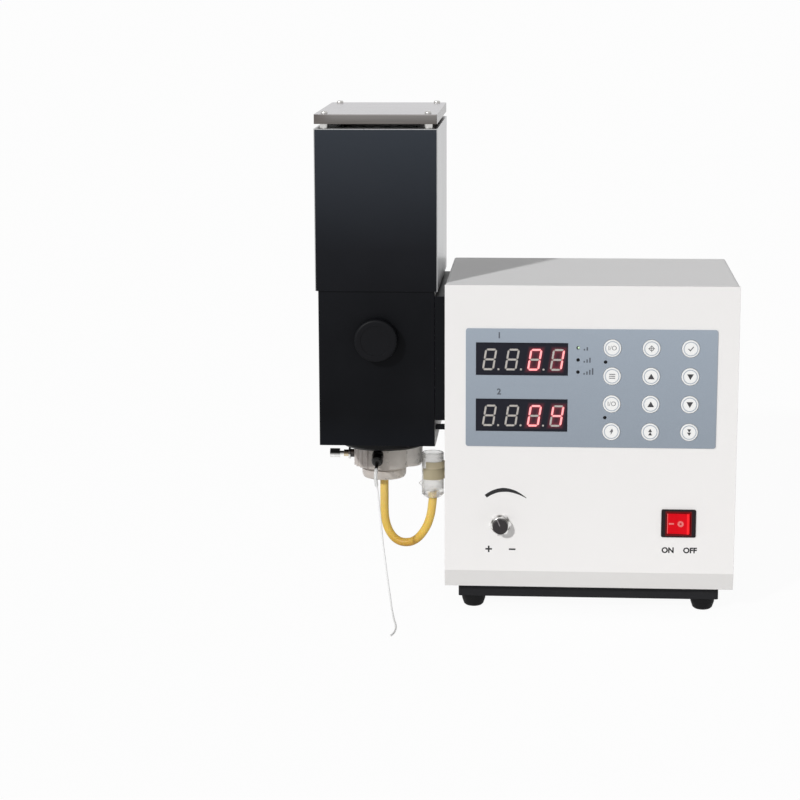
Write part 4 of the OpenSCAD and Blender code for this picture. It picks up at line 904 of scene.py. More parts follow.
class PHOTOMETER_OT_keypad(bpy.types.Operator):
    """Finish the keypad plate, the displays, their digits, the lamps and the keys"""

    bl_idname = "photometer.keypad"
    bl_label = "Keypad and displays"

    def execute(self, context):
        colours = settings(context)[1]
        dress(keypad_film("film", colours.film_blue), "keypad_plate")
        for name in ("display_upper", "display_lower"):
            centre = middle(name)
            spots = [Vector((centre.x + across, 0.0, centre.z - DIGIT_DROP)) for across in LIT_DIGITS]
            dress(display_window(name + "_window", spots, colours.segment_red), name)
        dress(self.lit_bars(colours.segment_red), "digits_lit")
        dress(self.unlit_bars(), "digits_unlit")
        dress(self.lamps(), "indicator_lamps")
        for key in KEYS:
            dress(self.key_face(key), "key_" + key)
        return {"FINISHED"}

    def unlit_bars(self):
        """Unlit bars: milky along the middle and grey along the edges."""
        bars = Finish("unlit_bars", (0.50, 0.47, 0.44), 0.4, Specular_IOR_Level=0.2)
        mottled = bars.tones(0.06, 300.0)
        bars.put("Base Color", bars.blend(bars.edge_mask(0.8 * MM, 0.06), mottled, (0.15, 0.135, 0.13)))
        bars.bumps(2600.0, 0.006 * MM)
        return bars.material

    def lit_bars(self, red):
        """Lit bars: pale pink along the middle and red along the edges."""
        bars = Finish("lit_bars", (0.5, 0.1, 0.1), 0.35)
        edge = bars.edge_mask(0.75 * MM, 0.12)
        bars.put("Emission Color", bars.blend(edge, (1.0, 0.46, 0.47), red))
        bars.put("Emission Strength", bars.pattern(700.0, 2.0, ends=(0.88, 1.0)))
        return bars.material

    def lamps(self):
        """Dark lamps, of which the topmost left one is lit pale green."""
        lamp = Finish("lamps", (0.004, 0.004, 0.005), 0.25, Specular_IOR_Level=0.12)
        corner = Vector((low("indicator_lamps").x, low("indicator_lamps").y, high("indicator_lamps").z))
        scale = 1 / LIT_LAMP_REACH
        near = lamp.stretched((scale,) * 3, tuple(-value * scale for value in corner + LIT_LAMP))
        ball = lamp.add("ShaderNodeTexGradient", {"Vector": near}, gradient_type="SPHERICAL").outputs["Fac"]
        lamp.put("Emission Color", (0.74, 1.0, 0.66, 1.0))
        lamp.put("Emission Strength", lamp.spread(ball, 0.10, 0.55, 0.0, 1.0))
        return lamp.material

    def key_face(self, key):
        """White key face with a grey ring near its edge."""
        face = Finish("key_face_" + key, KEY_WHITE, 0.4)
        centre = middle("key_" + key)
        where = face.stretched((1, 0, 1), (-centre.x, 0, -centre.z))
        distance = face.add("ShaderNodeVectorMath", {0: where}, operation="LENGTH").outputs["Value"]
        away = face.step("ABSOLUTE", face.minus(distance, KEY_RING_R))
        ring = face.step("LESS_THAN", away, KEY_RING_HALF_W)
        face.put("Base Color", face.blend(ring, KEY_WHITE, (0.42, 0.46, 0.51)))
        face.edges(0.2 * MM)
        face.bumps(2400.0, 0.006 * MM)
        return face.material


# Marks on the keys: outlines about a key's middle, in units of the marks' height
TRIANGLE_UP = [(-0.55, -0.45), (0.55, -0.45), (0.0, 0.5)]
TRIANGLE_DOWN = [(-0.55, 0.45), (0.0, -0.5), (0.55, 0.45)]
CHECK = [
    stroke_outline((-0.42, 0.02), (-0.08, -0.34), 0.16),
    stroke_outline((-0.14, -0.34), (0.44, 0.36), 0.16),
]
BOLT = [
    [(0.12, 0.55), (-0.30, -0.08), (-0.04, -0.08)],
    [(-0.04, -0.08), (0.30, 0.10), (0.12, 0.55)],
    [(-0.12, -0.55), (0.30, 0.10), (-0.04, -0.08)],
]


def raised(outline, up, scale):
    """An outline scaled and moved up."""
    return [(x * scale, z * scale + up) for x, z in outline]


KEY_MARKS = {
    "a2": ring_strokes(0, 0, 0.34, 0.11) + [bar_outline(0, 0, 1.1, 0.1), bar_outline(0, 0, 0.1, 1.1)],
    "a3": CHECK,
    "b1": [bar_outline(0, dz, 1.0, 0.14) for dz in (-0.32, 0.0, 0.32)],
    "b2": [TRIANGLE_UP],
    "b3": [TRIANGLE_DOWN],
    "c2": [TRIANGLE_UP],
    "c3": [TRIANGLE_DOWN],
    "d1": BOLT,
    "d2": [raised(TRIANGLE_UP, 0.28, 0.6), raised(TRIANGLE_UP, -0.28, 0.6)],
    "d3": [raised(TRIANGLE_DOWN, 0.28, 0.6), raised(TRIANGLE_DOWN, -0.28, 0.6)],
}
WRITTEN_KEYS = ("a1", "c1")


class PHOTOMETER_OT_key_marks(bpy.types.Operator):
    """Print the symbols on the keys; each rides on its key"""

    bl_idname = "photometer.key_marks"
    bl_label = "Key marks"

    def execute(self, context):
        sizes = settings(context)[0]
        dark = ink("key_ink", (0.045, 0.045, 0.05))
        grey = ink("key_ink_grey", (0.16, 0.16, 0.17))
        for key in KEYS:
            node = "key_" + key
            centre = middle(node)
            place = Matrix.Translation((centre.x, low(node).y, centre.z))
            name = "mark_" + key
            if key in WRITTEN_KEYS:
                mesh = written("I/O", 0.75 * sizes.key_mark, place, sizes.print_t, name)
            else:
                mesh = printed(name, KEY_MARKS[key], place, sizes.print_t, sizes.key_mark)
            finish = dark if key[0] in "bcd" and key[1] in "23" else grey
            piece(name, mesh, finish, BODY_OF[node])
        return {"FINISHED"}


# ---------------------------------------------------------------- prints on the panel

# Ends and top of the tapered arc over the valve, in millimetres from the panel's corner
ARC_LEFT = Vector((38.4, 112.8))
ARC_TOP = Vector((56.6, 119.15))
ARC_RIGHT = Vector((76.4, 111.5))
ARC_STEPS = 28

# The arc's width in millimetres at places along it, from its left end to its tip
ARC_WIDTHS = ((0.0, 3.3), (0.45, 3.9), (0.75, 2.6), (1.0, 0.5))


def arc_width(t):
    """Width of the arc in millimetres at a place along it."""
    for (start, first), (end, last) in zip(ARC_WIDTHS, ARC_WIDTHS[1:]):
        if t <= end:
            return first + (last - first) * (t - start) / (end - start)
    return ARC_WIDTHS[-1][1]


# Signs in millimetres from the panel's corner: words under the switch, plus and minus under the
# valve, and level bars beside the stacked lamps
SWITCH_WORDS = (("mark_on", "ON", 208.6), ("mark_off", "OFF", 229.2))
SWITCH_WORDS_Z = 63.0
VALVE_X = 52.4
VALVE_SIGNS_APART = 11
VALVE_SIGNS_Z = 62.0
SIGN_L = 6.2
SIGN_W = 1.5
PLUS_ARM = 2.36
LEVEL_X = 128.6
LEVEL_Z = 254.5
LEVEL_PITCH = 11.3
LEVEL_BAR_PITCH = 2.6
LEVEL_BAR_W = 1.3
LEVEL_BAR_HEIGHTS = (1.6, 3.1, 4.6, 6.1)
LEVEL_DROP = 2.4

# Channel numbers, in metres: how far left of a display's middle and how far above the display
# they stand, and their height
CHANNELS = (("channel_1", "1", "display_upper"), ("channel_2", "2", "display_lower"))
CHANNEL_LEFT = 21 * MM
CHANNEL_UP = 6.6 * MM
CHANNEL_H = 5.4 * MM


class PHOTOMETER_OT_panel_prints(bpy.types.Operator):
    """Print the tapered arc, the channel numbers and the small marks on the panel"""

    bl_idname = "photometer.panel_prints"
    bl_label = "Panel prints"

    def execute(self, context):
        sizes = settings(context)[0]
        black = ink("panel_ink", (0.012, 0.012, 0.013))
        film_ink = ink("film_ink", (0.09, 0.10, 0.12))
        on_panel = Matrix.Translation(from_corner(0, 0, 0))
        on_plate = Matrix.Translation((CORNER.x, PLATE_Y, 0.0))
        groups = ((on_panel, black, self.panel_signs()), (on_plate, film_ink, self.plate_signs()))
        for place, finish, signs in groups:
            for name, outlines in signs.items():
                mesh = printed(name, outlines, place, sizes.print_t, MM)
                piece(name, mesh, finish, HOUSING)
        for name, text, x in SWITCH_WORDS:
            place = Matrix.Translation(from_corner(x, 0, SWITCH_WORDS_Z))
            mesh = written(text, 0.72 * sizes.panel_mark, place, sizes.print_t, name, bold=0.06)
            piece(name, mesh, black, HOUSING)
        for name, text, node in CHANNELS:
            x = middle(node).x - CHANNEL_LEFT
            place = Matrix.Translation((x, PLATE_Y, high(node).z + CHANNEL_UP))
            mesh = written(text, CHANNEL_H, place, sizes.print_t, name, bold=0.045)
            piece(name, mesh, film_ink, HOUSING)
        return {"FINISHED"}

    def arc(self):
        """Outline of the tapered arc, in millimetres."""
        bend = 2 * ARC_TOP - (ARC_LEFT + ARC_RIGHT) / 2
        upper, lower = [], []
        for i in range(ARC_STEPS + 1):
            t = i / ARC_STEPS
            at = (1 - t) ** 2 * ARC_LEFT + 2 * t * (1 - t) * bend + t * t * ARC_RIGHT
            along = (2 * (1 - t) * (bend - ARC_LEFT) + 2 * t * (ARC_RIGHT - bend)).normalized()
            side = Vector((-along.y, along.x)) * arc_width(t) / 2
            upper.append(tuple(at + side))
            lower.append(tuple(at - side))
        return upper + list(reversed(lower))

    def panel_signs(self):
        """The arc over the valve, and plus and minus under it."""
        plus = VALVE_X - VALVE_SIGNS_APART
        rise = (SIGN_W + PLUS_ARM) / 2
        return {
            "valve_arc": [self.arc()],
            "mark_plus": [
                bar_outline(plus, VALVE_SIGNS_Z, SIGN_L, SIGN_W),
                bar_outline(plus, VALVE_SIGNS_Z + rise, SIGN_W, PLUS_ARM),
                bar_outline(plus, VALVE_SIGNS_Z - rise, SIGN_W, PLUS_ARM),
            ],
            "mark_minus": [bar_outline(VALVE_X + VALVE_SIGNS_APART, VALVE_SIGNS_Z, SIGN_L, SIGN_W)],
        }

    def plate_signs(self):
        """Level bars beside the three stacked lamps, one more on each line."""
        signs = {}
        for line in range(3):
            foot = LEVEL_Z - LEVEL_PITCH * line - LEVEL_DROP
            signs["level_" + str(line + 1)] = [
                bar_outline(LEVEL_X + LEVEL_BAR_PITCH * k, foot + height / 2, LEVEL_BAR_W, height)
                for k, height in enumerate(LEVEL_BAR_HEIGHTS[:line + 2])
            ]
        return signs


# ---------------------------------------------------------------- power switch


# The rocker: its pivot in millimetres from the cabinet's corner, its lean at rest, the slope of
# each half of its face, and the thickness of its marks in metres
ROCKER_PIVOT = (218.0, 1.0, 89.3)
ROCKER_LEAN = radians(-7.0)
ROCKER_SLOPE = atan2(1.0, 10.8)
ROCKER_MARK_T = 0.12 * MM

# Its marks: places in millimetres from the pivot, the bar's length and height, and the ring's
# radius and stroke in metres
ROCKER_BAR_AT = Vector((-6.2, -3.97, 0.0))
ROCKER_BAR = (4.7 * MM, 1.4 * MM)
ROCKER_RING_AT = Vector((2.3, -3.61, 0.0))
ROCKER_RING = (1.88 * MM, 2.15 * MM)
SWITCH_BLACK = (0.014, 0.009, 0.011)


class PHOTOMETER_OT_power_switch(bpy.types.Operator):
    """Finish the power switch and put its marks on the rocker"""

    bl_idname = "photometer.power_switch"
    bl_label = "Power switch"

    def execute(self, context):
        colours = settings(context)[1]
        dress(self.bezel_plastic(), "switch_body")
        dress(self.rocker_plastic(colours.rocker_red), "switch_rocker")
        self.marks(ink("rocker_ink", (0.80, 0.20, 0.19), 0.35))
        return {"FINISHED"}

    def bezel_plastic(self):
        """Black bezel whose inner slopes are painted dark red, a painted glow of the rocker's red light."""
        bezel = Finish("switch_black", SWITCH_BLACK, 0.3, Specular_IOR_Level=0.15)
        start, end = low("switch_rocker"), high("switch_rocker")
        # Painted glow: the bezel near the rocker is tinted red
        near = bezel.within("X", start.x - 1.3 * MM, end.x + 1.3 * MM, 0.5 * MM)
        near = bezel.times(near, bezel.within("Z", start.z - 0.9 * MM, end.z + 0.9 * MM, 0.5 * MM))
        bezel.put("Base Color", bezel.blend(near, SWITCH_BLACK, (0.13, 0.002, 0.003)))
        bezel.edges(0.4 * MM)
        bezel.bumps(2600.0, 0.006 * MM)
        return bezel.material

    def rocker_plastic(self, red):
        """Translucent red plastic, lit from behind, with painted light on its raised tip, which is brighter
        and glows more, and a painted highlight along its left edge.
        """
        plastic = Finish("rocker_plastic", red, 0.32, Specular_IOR_Level=0.06)
        start, end = low("switch_rocker").x, high("switch_rocker").x
        # Painted light: the raised tip painted brighter red, and a painted highlight of pale pink along the
        # left edge
        tip = plastic.beyond("X", end - 3.1 * MM, 0.25 * MM)
        rim = plastic.before("X", start + 0.9 * MM, 0.25 * MM)
        shade = plastic.blend(plastic.times(tip, 0.7), red, (1.0, 0.035, 0.04))
        plastic.put("Base Color", plastic.blend(plastic.times(rim, 0.6), shade, (0.95, 0.22, 0.22)))
        plastic.put("Emission Color", (1.0, 0.004, 0.012, 1.0))
        plastic.put("Emission Strength", plastic.spread(tip, 0.0, 1.0, 0.14, 0.30))
        plastic.edges(0.6 * MM)
        plastic.bumps(500.0, 0.02 * MM)
        return plastic.material

    def marks(self, material):
        """A bar on the pressed side and a ring on the other, on the rocker's sloping faces."""
        turn = Matrix.Translation(from_corner(*ROCKER_PIVOT)) @ Matrix.Rotation(ROCKER_LEAN, 4, "Z")
        signs = (
            (ROCKER_BAR_AT, ROCKER_SLOPE, [bar_outline(0, 0, *ROCKER_BAR)]),
            (ROCKER_RING_AT, -ROCKER_SLOPE, ring_strokes(0, 0, *ROCKER_RING)),
        )

        def build(shape):
            for at, slope, outlines in signs:
                place = turn @ Matrix.Translation(at * MM) @ Matrix.Rotation(slope, 4, "Z")
                for outline in outlines:
                    add_plate(shape, outline, place, ROCKER_MARK_T)
        piece("rocker_marks", mesh_from("rocker_marks", build), material, "rocker")


# ---------------------------------------------------------------- gas valve


# Lean of the knob's pointer, left of upright
POINTER_LEAN = radians(23.0)
KNOB_DARK = (0.021, 0.017, 0.019)


class PHOTOMETER_OT_gas_valve(bpy.types.Operator):
    """Finish the gas valve's nut and knob"""

    bl_idname = "photometer.gas_valve"
    bl_label = "Gas valve"

    def execute(self, context):
        dress(self.chrome("nut_chrome", 6, 0.9), "valve_nut")
        dress(self.chrome("skirt_chrome", 3, 2.4), "knob_skirt")
        dress(self.knob_plastic(), "knob_cap")
        return {"FINISHED"}

    def chrome(self, name, waves, phase):
        """Chrome with a painted reflection: the light and dark facets of what stands round it, by the angle
        about the valve.
        """
        chrome = Finish(name, (0.6, 0.6, 0.59), 0.16, Metallic=1.0)
        # Painted reflection: light and dark bands by the angle about the valve
        across, up = chrome.from_centre(middle("valve_nut"))
        turn = chrome.step("ARCTAN2", up, across)
        wave = chrome.step("SINE", chrome.step("ADD", chrome.times(turn, float(waves)), phase))
        shade = chrome.blend(chrome.spread(wave, -0.95, 0.4), (0.20, 0.19, 0.18), (0.80, 0.79, 0.78))
        chrome.put("Base Color", shade)
        chrome.edges(0.3 * MM)
        chrome.bumps(2500.0, 0.004 * MM)
        return chrome.material

    def knob_plastic(self):
        """Dark knob cap with a pale line in the groove of its pointer."""
        knob = Finish("knob_plastic", KNOB_DARK, 0.34, Specular_IOR_Level=0.35)
        across, up = knob.from_centre(middle("knob_cap"))
        lean_cos, lean_sin = cos(POINTER_LEAN), sin(POINTER_LEAN)
        side = knob.step("ADD", knob.times(across, lean_cos), knob.times(up, lean_sin))
        reach = knob.minus(knob.times(up, lean_cos), knob.times(across, lean_sin))
        line = knob.step("LESS_THAN", knob.step("ABSOLUTE", side), 0.5 * MM)
        line = knob.times(line, knob.spread(reach, 0.8 * MM, 1.2 * MM))
        line = knob.times(line, knob.before("Y", low("knob_cap").y + 1.2 * MM))
        knob.put("Base Color", knob.blend(line, KNOB_DARK, (0.24, 0.22, 0.23)))
        knob.edges(0.35 * MM)
        knob.bumps(2400.0, 0.01 * MM)
        return knob.material


# ---------------------------------------------------------------- tower


# Screws as in the solids: head diameter, head height and shank diameter, in metres
LID_SCREW = (6.4 * MM, 2.2 * MM, 4.0 * MM)
CASE_SCREW = (6.0 * MM, 1.8 * MM, 3.0 * MM)

# The lid screws' nuts and how far up the shanks they sit, and how far in the case screws reach
NUT_AF = 7.0 * MM
NUT_T = 3.2 * MM
NUT_UP = 1.0 * MM
CASE_GRIP = 4.5 * MM

# The lid pillars' diameter, the case screws' distances from the edges of the rear and the sides,
# and the case's depth, in metres
PILLAR_D = 8.0 * MM
REAR_IN = 14.0 * MM
SIDE_UP = 12.0 * MM
SIDE_IN = 40.0 * MM
CASE_DEPTH = 190.0 * MM


class PHOTOMETER_OT_tower(bpy.types.Operator):
    """Finish the burner tower, its duct, its lid and the sight port's cap"""

    bl_idname = "photometer.tower"
    bl_label = "Tower"

    def execute(self, context):
        colours = settings(context)[1]
        black = colours.tower_black
        dress(tower_paint("tower_paint", black), "cover_plate", "light_duct", "support_bar")
        dress(tower_paint("housing_paint", black, low("tower_housing").y + 0.7 * MM), "tower_housing")
        dress(cover_steel("cover_steel", (0.445, 0.448, 0.453)), "upper_cover")
        dress(lid_steel("lid_steel", (0.49, 0.475, 0.49)), "lid")
        dress(turned_metal("pillar_steel", (0.62, 0.61, 0.595), 0.22), "lid_pillars")
        cap = moulded_plastic("cap_plastic", (0.0028, 0.0030, 0.0042), 0.45, Specular_IOR_Level=0.11)
        dress(cap, "port_cap")
        return {"FINISHED"}


class PHOTOMETER_OT_screws(bpy.types.Operator):
    """Make the cross-recessed screws of the lid, the rear panel and the cover"""

    bl_idname = "photometer.screws"
    bl_label = "Screws"

    def execute(self, context):
        depth = settings(context)[0].recess_t
        bright = turned_metal("screw_steel", (0.50, 0.49, 0.475), 0.30)
        # Painted shade: the cross recesses take a near-black finish
        dark = turned_metal("painted_recess_shade", (0.06, 0.055, 0.05), 0.45)
        grip = high("lid").z - low("lid_screws").z
        case = self.rear_places() + self.side_places()
        groups = (
            ("cap_screws", "lid_screws", self.lid_places(), LID_SCREW, grip, True),
            ("case_screws", "panel_screws", case, CASE_SCREW, CASE_GRIP, False),
        )
        for name, node, places, head, reach, with_nut in groups:
            def build(shape):
                for place in places:
                    self.add_screw(shape, place, head, reach, depth, with_nut)
            made = piece(name, mesh_from(name, build), bright, HOUSING)
            made.data.materials.append(dark)
            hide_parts(node)
        return {"FINISHED"}

    def lid_places(self):
        """Seats of the lid's four screws, each turned a little further."""
        start, end = low("lid_pillars"), high("lid_pillars")
        inset = PILLAR_D / 2
        ys = (start.y + inset, end.y - inset)
        corners = [(x, y) for x in (start.x + inset, end.x - inset) for y in ys]
        return [
            Matrix.Translation((x, y, high("lid").z)) @ Matrix.Rotation(radians(18 + 31 * k), 4, "Z")
            for k, (x, y) in enumerate(corners)
        ]

    def rear_places(self):
        """Seats of the rear panel's six screws."""
        left, right = low("front_panel").x, high("front_panel").x
        face = high("panel_screws").y - CASE_SCREW[1]
        floor, top = low("front_panel").z, high("front_panel").z
        turn = Matrix.Rotation(-pi / 2, 4, "X")
        return [
            Matrix.Translation((x, face, z)) @ turn
            for x in (left + REAR_IN, (left + right) / 2, right - REAR_IN)
            for z in (floor + REAR_IN, top - REAR_IN)
        ]

    def side_places(self):
        """Seats of the four screws low on the cover's sides."""
        left, right = low("front_panel").x, high("front_panel").x
        back = low("front_panel").y + CASE_DEPTH
        level = low("front_panel").z + SIDE_UP
        places = []
        for y in (low("front_panel").y + SIDE_IN, back - SIDE_IN):
            places.append(Matrix.Translation((right, y, level)) @ Matrix.Rotation(pi / 2, 4, "Y"))
            places.append(Matrix.Translation((left, y, level)) @ Matrix.Rotation(-pi / 2, 4, "Y"))
        return places

    def add_screw(self, shape, place, head, reach, depth, with_nut):
        """A pan head with a cross recess, a shank, and a nut if it has one."""
        self.add_head(shape, place, *head, depth)
        bore = head[2] / 2
        add_rings(shape, place, [(0.0, -reach), (bore, -reach), (bore, 0.0)], 24)
        if with_nut:
            foot = NUT_UP - reach
            radius = NUT_AF / 2 / cos(pi / 6)
            ring = [(bore, foot), (radius, foot), (radius, foot + NUT_T), (bore, foot + NUT_T)]
            add_rings(shape, place, ring, 6)

    def add_head(self, shape, place, diameter, height, shank, depth):
        """Pan head: a domed rim round a flat top, into which the cross is sunk."""
        r = diameter / 2
        flat = 0.76 * r
        add_rings(
            shape, place,
            [(shank / 2, 0.0), (r, 0.0), (r, 0.45 * height), (0.93 * r, 0.75 * height), (flat, height)], 32
        )
        rim = [place @ Vector((x, y, height)) for x, y in circle_outline(0, 0, flat, 32)]
        arm, half = 0.5 * r, 0.13 * r
        cross = []
        for k in range(4):
            turn = Matrix.Rotation(k * pi / 2, 2)
            cross += [turn @ Vector(point) for point in ((arm, -half), (arm, half), (half, half))]
        edges = []
        loops = []
        for points in (rim, [place @ Vector((*at, height)) for at in cross]):
            verts = [shape.verts.new(at) for at in points]
            edges += [shape.edges.new((a, b)) for a, b in zip(verts, verts[1:] + verts[:1])]
            loops.append(verts)
        top = loops[1]
        bmesh.ops.triangle_fill(shape, edges=edges, use_beauty=True)
        foot = [shape.verts.new(place @ Vector((*(at * 0.7), height - depth))) for at in cross]
        for i in range(len(cross)):
            j = (i + 1) % len(cross)
            # The recess faces take the second, near-black finish: painted shade
            shape.faces.new((top[i], top[j], foot[j], foot[i])).material_index = 1
        shape.faces.new(foot).material_index = 1


# Lengths of the needle's lock ring and washer, as in the solids, in metres
LOCK_L = 4.8 * MM
WASHER_L = 1.8 * MM
GLAND_BLACK = (0.02, 0.014, 0.012)


class PHOTOMETER_OT_burner(bpy.types.Operator):
    """Finish the burner, the mixing chamber, the nebuliser and the needle"""

    bl_idname = "photometer.burner"
    bl_label = "Burner and chamber"

    def execute(self, context):
        colours = settings(context)[1]
        flange = moulded_plastic("flange_plastic", (0.004, 0.004, 0.0045), 0.45, Specular_IOR_Level=0.15)
        dress(flange, "burner_flange")
        dress(brushed_steel("burner_steel", (0.68, 0.66, 0.63), 0.3, 2), "burner_head")
        dress(clear_plastic("chimney_glass", (0.93, 0.96, 0.95), 0.03, 1.0, 1.46, 0.0), "glass_chimney")
        dress(self.smoky_plastic(colours.smoky), "mixing_chamber", "chamber_base")
        black = moulded_plastic("nebuliser_black", (0.006, 0.0055, 0.0055), 0.12, Specular_IOR_Level=0.35)
        dress(black, "nebuliser")
        dress(self.gland(), "needle_gland")
        dress(self.needle_chrome(), "needle_screw")
        return {"FINISHED"}

    def smoky_plastic(self, colour):
        """Smoky plastic with painted light that makes it paler towards the cup, with a dark band under the
        flange.
        """
        plastic = Finish("smoky_plastic", colour, 0.30, Transmission_Weight=0.22, IOR=1.45)
        start, end = low("mixing_chamber"), high("mixing_chamber")
        width = end.x - start.x
        # Painted light: the plastic is graded paler along X towards the cup
        shade = plastic.ramp("X", (
            (start.x, colour), (start.x + 0.45 * width, (0.60, 0.55, 0.50)),
            (start.x + 0.72 * width, (0.92, 0.87, 0.81)), (end.x, (0.98, 0.95, 0.91)),
        ))
        clouds = plastic.spread(plastic.noise(110.0, 3.0), 0.35, 0.7, 0.0, 0.22)
        shade = plastic.blend(clouds, shade, (0.46, 0.41, 0.37))
        gasket = plastic.beyond("Z", end.z - 1.4 * MM, 0.3 * MM)
        plastic.put("Base Color", plastic.blend(gasket, shade, (0.16, 0.13, 0.12)))
        plastic.edges(0.4 * MM)
        plastic.rough(0.30, 0.04, 120.0)
        return plastic.material

    def needle_chrome(self):
        """Chrome with a painted reflection of the dark tower above it and the bright bench below."""
        chrome = Finish("needle_chrome", (0.5, 0.5, 0.5), 0.14, Metallic=1.0)
        centre = middle("needle_screw")
        # Painted reflection: dark above the middle, bright below
        lower = chrome.before("Z", centre.z - 0.2 * MM, 1.0 * MM)
        marks = chrome.pattern(400.0, 2.0)
        bright = chrome.blend(marks, (0.74, 0.73, 0.72), (0.88, 0.88, 0.87))
        chrome.put("Base Color", chrome.blend(lower, (0.012, 0.012, 0.012), bright))
        chrome.edges(0.25 * MM)
        chrome.bumps(2500.0, 0.004 * MM)
        return chrome.material

    def gland(self):
        """Black gland against the chamber, bright washer, brass lock ring, all darkened above the middle as
        a painted reflection of the dark tower above.
        """
        gland = Finish("gland", GLAND_BLACK, 0.25)
        start = low("needle_gland").x
        washer = gland.within("X", start + LOCK_L, start + LOCK_L + WASHER_L)
        lock = gland.before("X", start + LOCK_L)
        shade = gland.blend(washer, GLAND_BLACK, (0.72, 0.71, 0.70))
        shade = gland.blend(lock, shade, (0.66, 0.56, 0.40))
        # Painted reflection: the upper half is darkened
        upper = gland.beyond("Z", middle("needle_screw").z - 0.3 * MM, 0.6 * MM)
        gland.put("Base Color", gland.blend(gland.times(upper, 0.92), shade, (0.030, 0.020, 0.016)))
        gland.put("Metallic", gland.step("MAXIMUM", washer, lock))
        gland.edges(0.25 * MM)
        gland.bumps(2400.0, 0.006 * MM)
        return gland.material


# Where the clip's paler tab starts, up from the band's foot, in metres
CLIP_TAB_UP = 10.8 * MM


class PHOTOMETER_OT_drain_cup(bpy.types.Operator):
    """Finish the drain cup and its clip"""

    bl_idname = "photometer.drain_cup"
    bl_label = "Drain cup"

    def execute(self, context):
        colours = settings(context)[1]
        dress(clear_plastic("cup_plastic", (0.97, 0.965, 0.955), 0.24, 0.86, grain=0.002 * MM), "drain_cup")
        band = Finish("clip_plastic", colours.khaki, 0.4)
        tab = band.beyond("Z", low("cup_clip").z + CLIP_TAB_UP, 0.2 * MM)
        band.put("Base Color", band.blend(tab, colours.khaki, scaled(colours.khaki, 1.70, 0.05)))
        band.edges(0.3 * MM)
        band.bumps(1500.0, 0.01 * MM)
        dress(band.material, "cup_clip")
        return {"FINISHED"}


# ---------------------------------------------------------------- stage


# Studio, in metres: half the floor's side, and the broad light's size, place and aim
FLOOR_HALF = 120.0
SOFT_SIZE = (2.4, 1.2)
SOFT_PLACE = Vector((0.2, -2.6, 1.3))
SOFT_AIM = Vector((0.0, 0.0, 0.2))


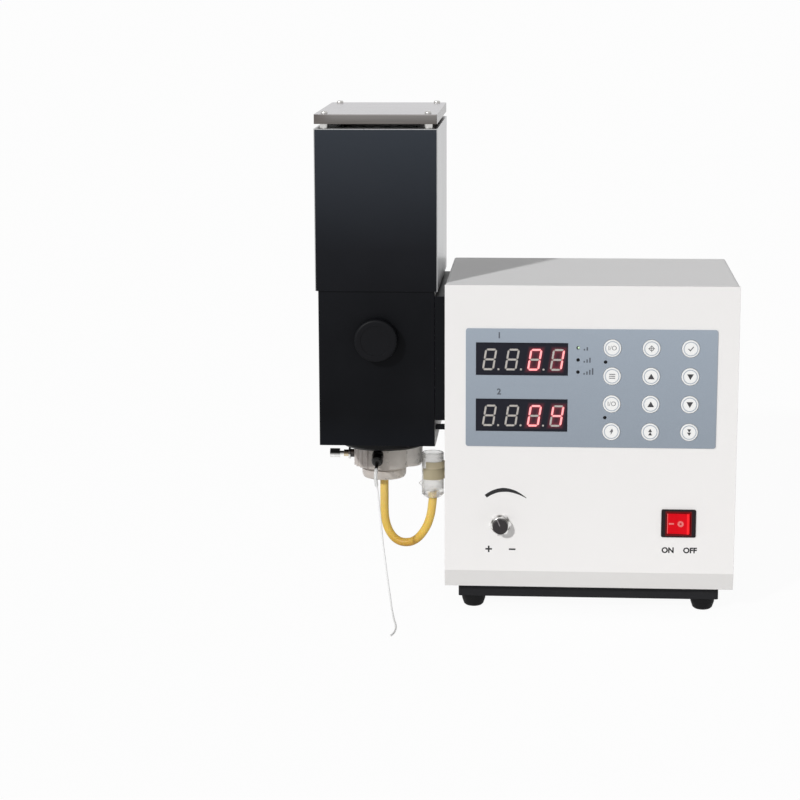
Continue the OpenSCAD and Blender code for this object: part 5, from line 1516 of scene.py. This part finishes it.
class PHOTOMETER_OT_stage(bpy.types.Operator):
    """Lay the pale floor and set the studio's light"""

    bl_idname = "photometer.stage"
    bl_label = "Stage"

    def execute(self, context):
        studio = settings(context)[2]
        self.floor(studio.white_share)
        self.world(context.scene, studio.fill)
        self.key(context.scene, studio)
        context.scene.view_settings.view_transform = "Standard"
        return {"FINISHED"}

    def floor(self, white_share):
        """A large pale floor that the camera sees nearly white, with the object's soft shadow."""
        def build(shape):
            bmesh.ops.create_grid(shape, x_segments=1, y_segments=1, size=FLOOR_HALF)
        floor = bpy.data.objects.new("floor", mesh_from("floor", build))
        bpy.context.scene.collection.objects.link(floor)
        pale = Finish("pale_floor", (0.90, 0.90, 0.90), 0.9)
        path = pale.add("ShaderNodeLightPath").outputs
        seen = pale.step("MAXIMUM", path["Is Camera Ray"], path["Is Glossy Ray"])
        seen = pale.step("MAXIMUM", seen, path["Is Transmission Ray"])
        white = pale.add("ShaderNodeEmission", {"Color": (1.0, 1.0, 1.0, 1.0), "Strength": 1.0}).outputs[0]
        mixed = pale.add("ShaderNodeMixShader", {
            0: pale.times(seen, white_share), 1: pale.shader.outputs[0], 2: white,
        })
        pale.links.new(mixed.outputs[0], pale.nodes["Material Output"].inputs["Surface"])
        floor.data.materials.append(pale.material)

    def world(self, scene, fill):
        """Even studio walls: plain white to the camera, and a soft fill for the object."""
        world = bpy.data.worlds.new("studio")
        world.use_nodes = True
        nodes, links = world.node_tree.nodes, world.node_tree.links
        path = nodes.new("ShaderNodeLightPath").outputs
        backdrop = nodes["Background"]
        backdrop.inputs["Color"].default_value = (1.0, 1.0, 1.0, 1.0)
        shown = path["Is Camera Ray"]
        for ray in ("Is Transmission Ray", "Is Glossy Ray"):
            either = nodes.new("ShaderNodeMath")
            either.operation = "MAXIMUM"
            links.new(shown, either.inputs[0])
            links.new(path[ray], either.inputs[1])
            shown = either.outputs[0]
        strength = nodes.new("ShaderNodeMapRange")
        links.new(shown, strength.inputs[0])
        strength.inputs[3].default_value = fill
        strength.inputs[4].default_value = 1.0
        links.new(strength.outputs[0], backdrop.inputs["Strength"])
        scene.world = world

    def key(self, scene, studio):
        """A low key light from the front left, and a broad soft light over the front."""
        sun = bpy.data.lights.new("key_light", "SUN")
        sun.energy = studio.key_strength
        sun.angle = radians(3.0)
        lamp = bpy.data.objects.new("key_light", sun)
        toward = Vector((
            -sin(studio.key_side) * cos(studio.key_height),
            -cos(studio.key_side) * cos(studio.key_height),
            sin(studio.key_height),
        ))
        lamp.rotation_euler = toward.to_track_quat("Z", "Y").to_euler()
        scene.collection.objects.link(lamp)
        soft = bpy.data.lights.new("front_fill", "AREA")
        soft.shape = "RECTANGLE"
        soft.size, soft.size_y = SOFT_SIZE
        soft.energy = studio.soft_strength
        panel = bpy.data.objects.new("front_fill", soft)
        panel.location = SOFT_PLACE
        panel.rotation_euler = (SOFT_AIM - SOFT_PLACE).to_track_quat("-Z", "Y").to_euler()
        scene.collection.objects.link(panel)


# ---------------------------------------------------------------- panel and registering

OPERATORS = (
    PHOTOMETER_OT_camera,
    PHOTOMETER_OT_drain_hose,
    PHOTOMETER_OT_capillary,
    PHOTOMETER_OT_cabinet,
    PHOTOMETER_OT_inside,
    PHOTOMETER_OT_keypad,
    PHOTOMETER_OT_key_marks,
    PHOTOMETER_OT_panel_prints,
    PHOTOMETER_OT_power_switch,
    PHOTOMETER_OT_gas_valve,
    PHOTOMETER_OT_tower,
    PHOTOMETER_OT_screws,
    PHOTOMETER_OT_burner,
    PHOTOMETER_OT_drain_cup,
    PHOTOMETER_OT_stage,
)
GROUPS = (
    ("photometer_sizes", PhotometerSizes),
    ("photometer_colours", PhotometerColours),
    ("photometer_studio", PhotometerStudio),
)


class PHOTOMETER_PT_pieces(bpy.types.Panel):
    """Lists the settings and the operators"""

    bl_idname = "PHOTOMETER_PT_pieces"
    bl_label = "Flame photometer"
    bl_space_type = "VIEW_3D"
    bl_region_type = "UI"
    bl_category = "Photometer"

    def draw(self, context):
        for attribute, group in GROUPS:
            box = self.layout.box()
            for name in group.__annotations__:
                box.prop(getattr(context.scene, attribute), name)
        for operator in OPERATORS:
            self.layout.operator(operator.bl_idname)


def register():
    """Register the settings, the operators and the panel."""
    for attribute, group in GROUPS:
        bpy.utils.register_class(group)
        setattr(bpy.types.Scene, attribute, PointerProperty(type=group))
    for operator in OPERATORS:
        bpy.utils.register_class(operator)
    bpy.utils.register_class(PHOTOMETER_PT_pieces)


def unregister():
    """Take them all out again."""
    bpy.utils.unregister_class(PHOTOMETER_PT_pieces)
    for operator in reversed(OPERATORS):
        bpy.utils.unregister_class(operator)
    for attribute, group in reversed(GROUPS):
        delattr(bpy.types.Scene, attribute)
        bpy.utils.unregister_class(group)


def main():
    """Make every piece in order."""
    register()
    for operator in OPERATORS:
        group, name = operator.bl_idname.split(".")
        getattr(getattr(bpy.ops, group), name)()


if __name__ == "__main__":
    main()
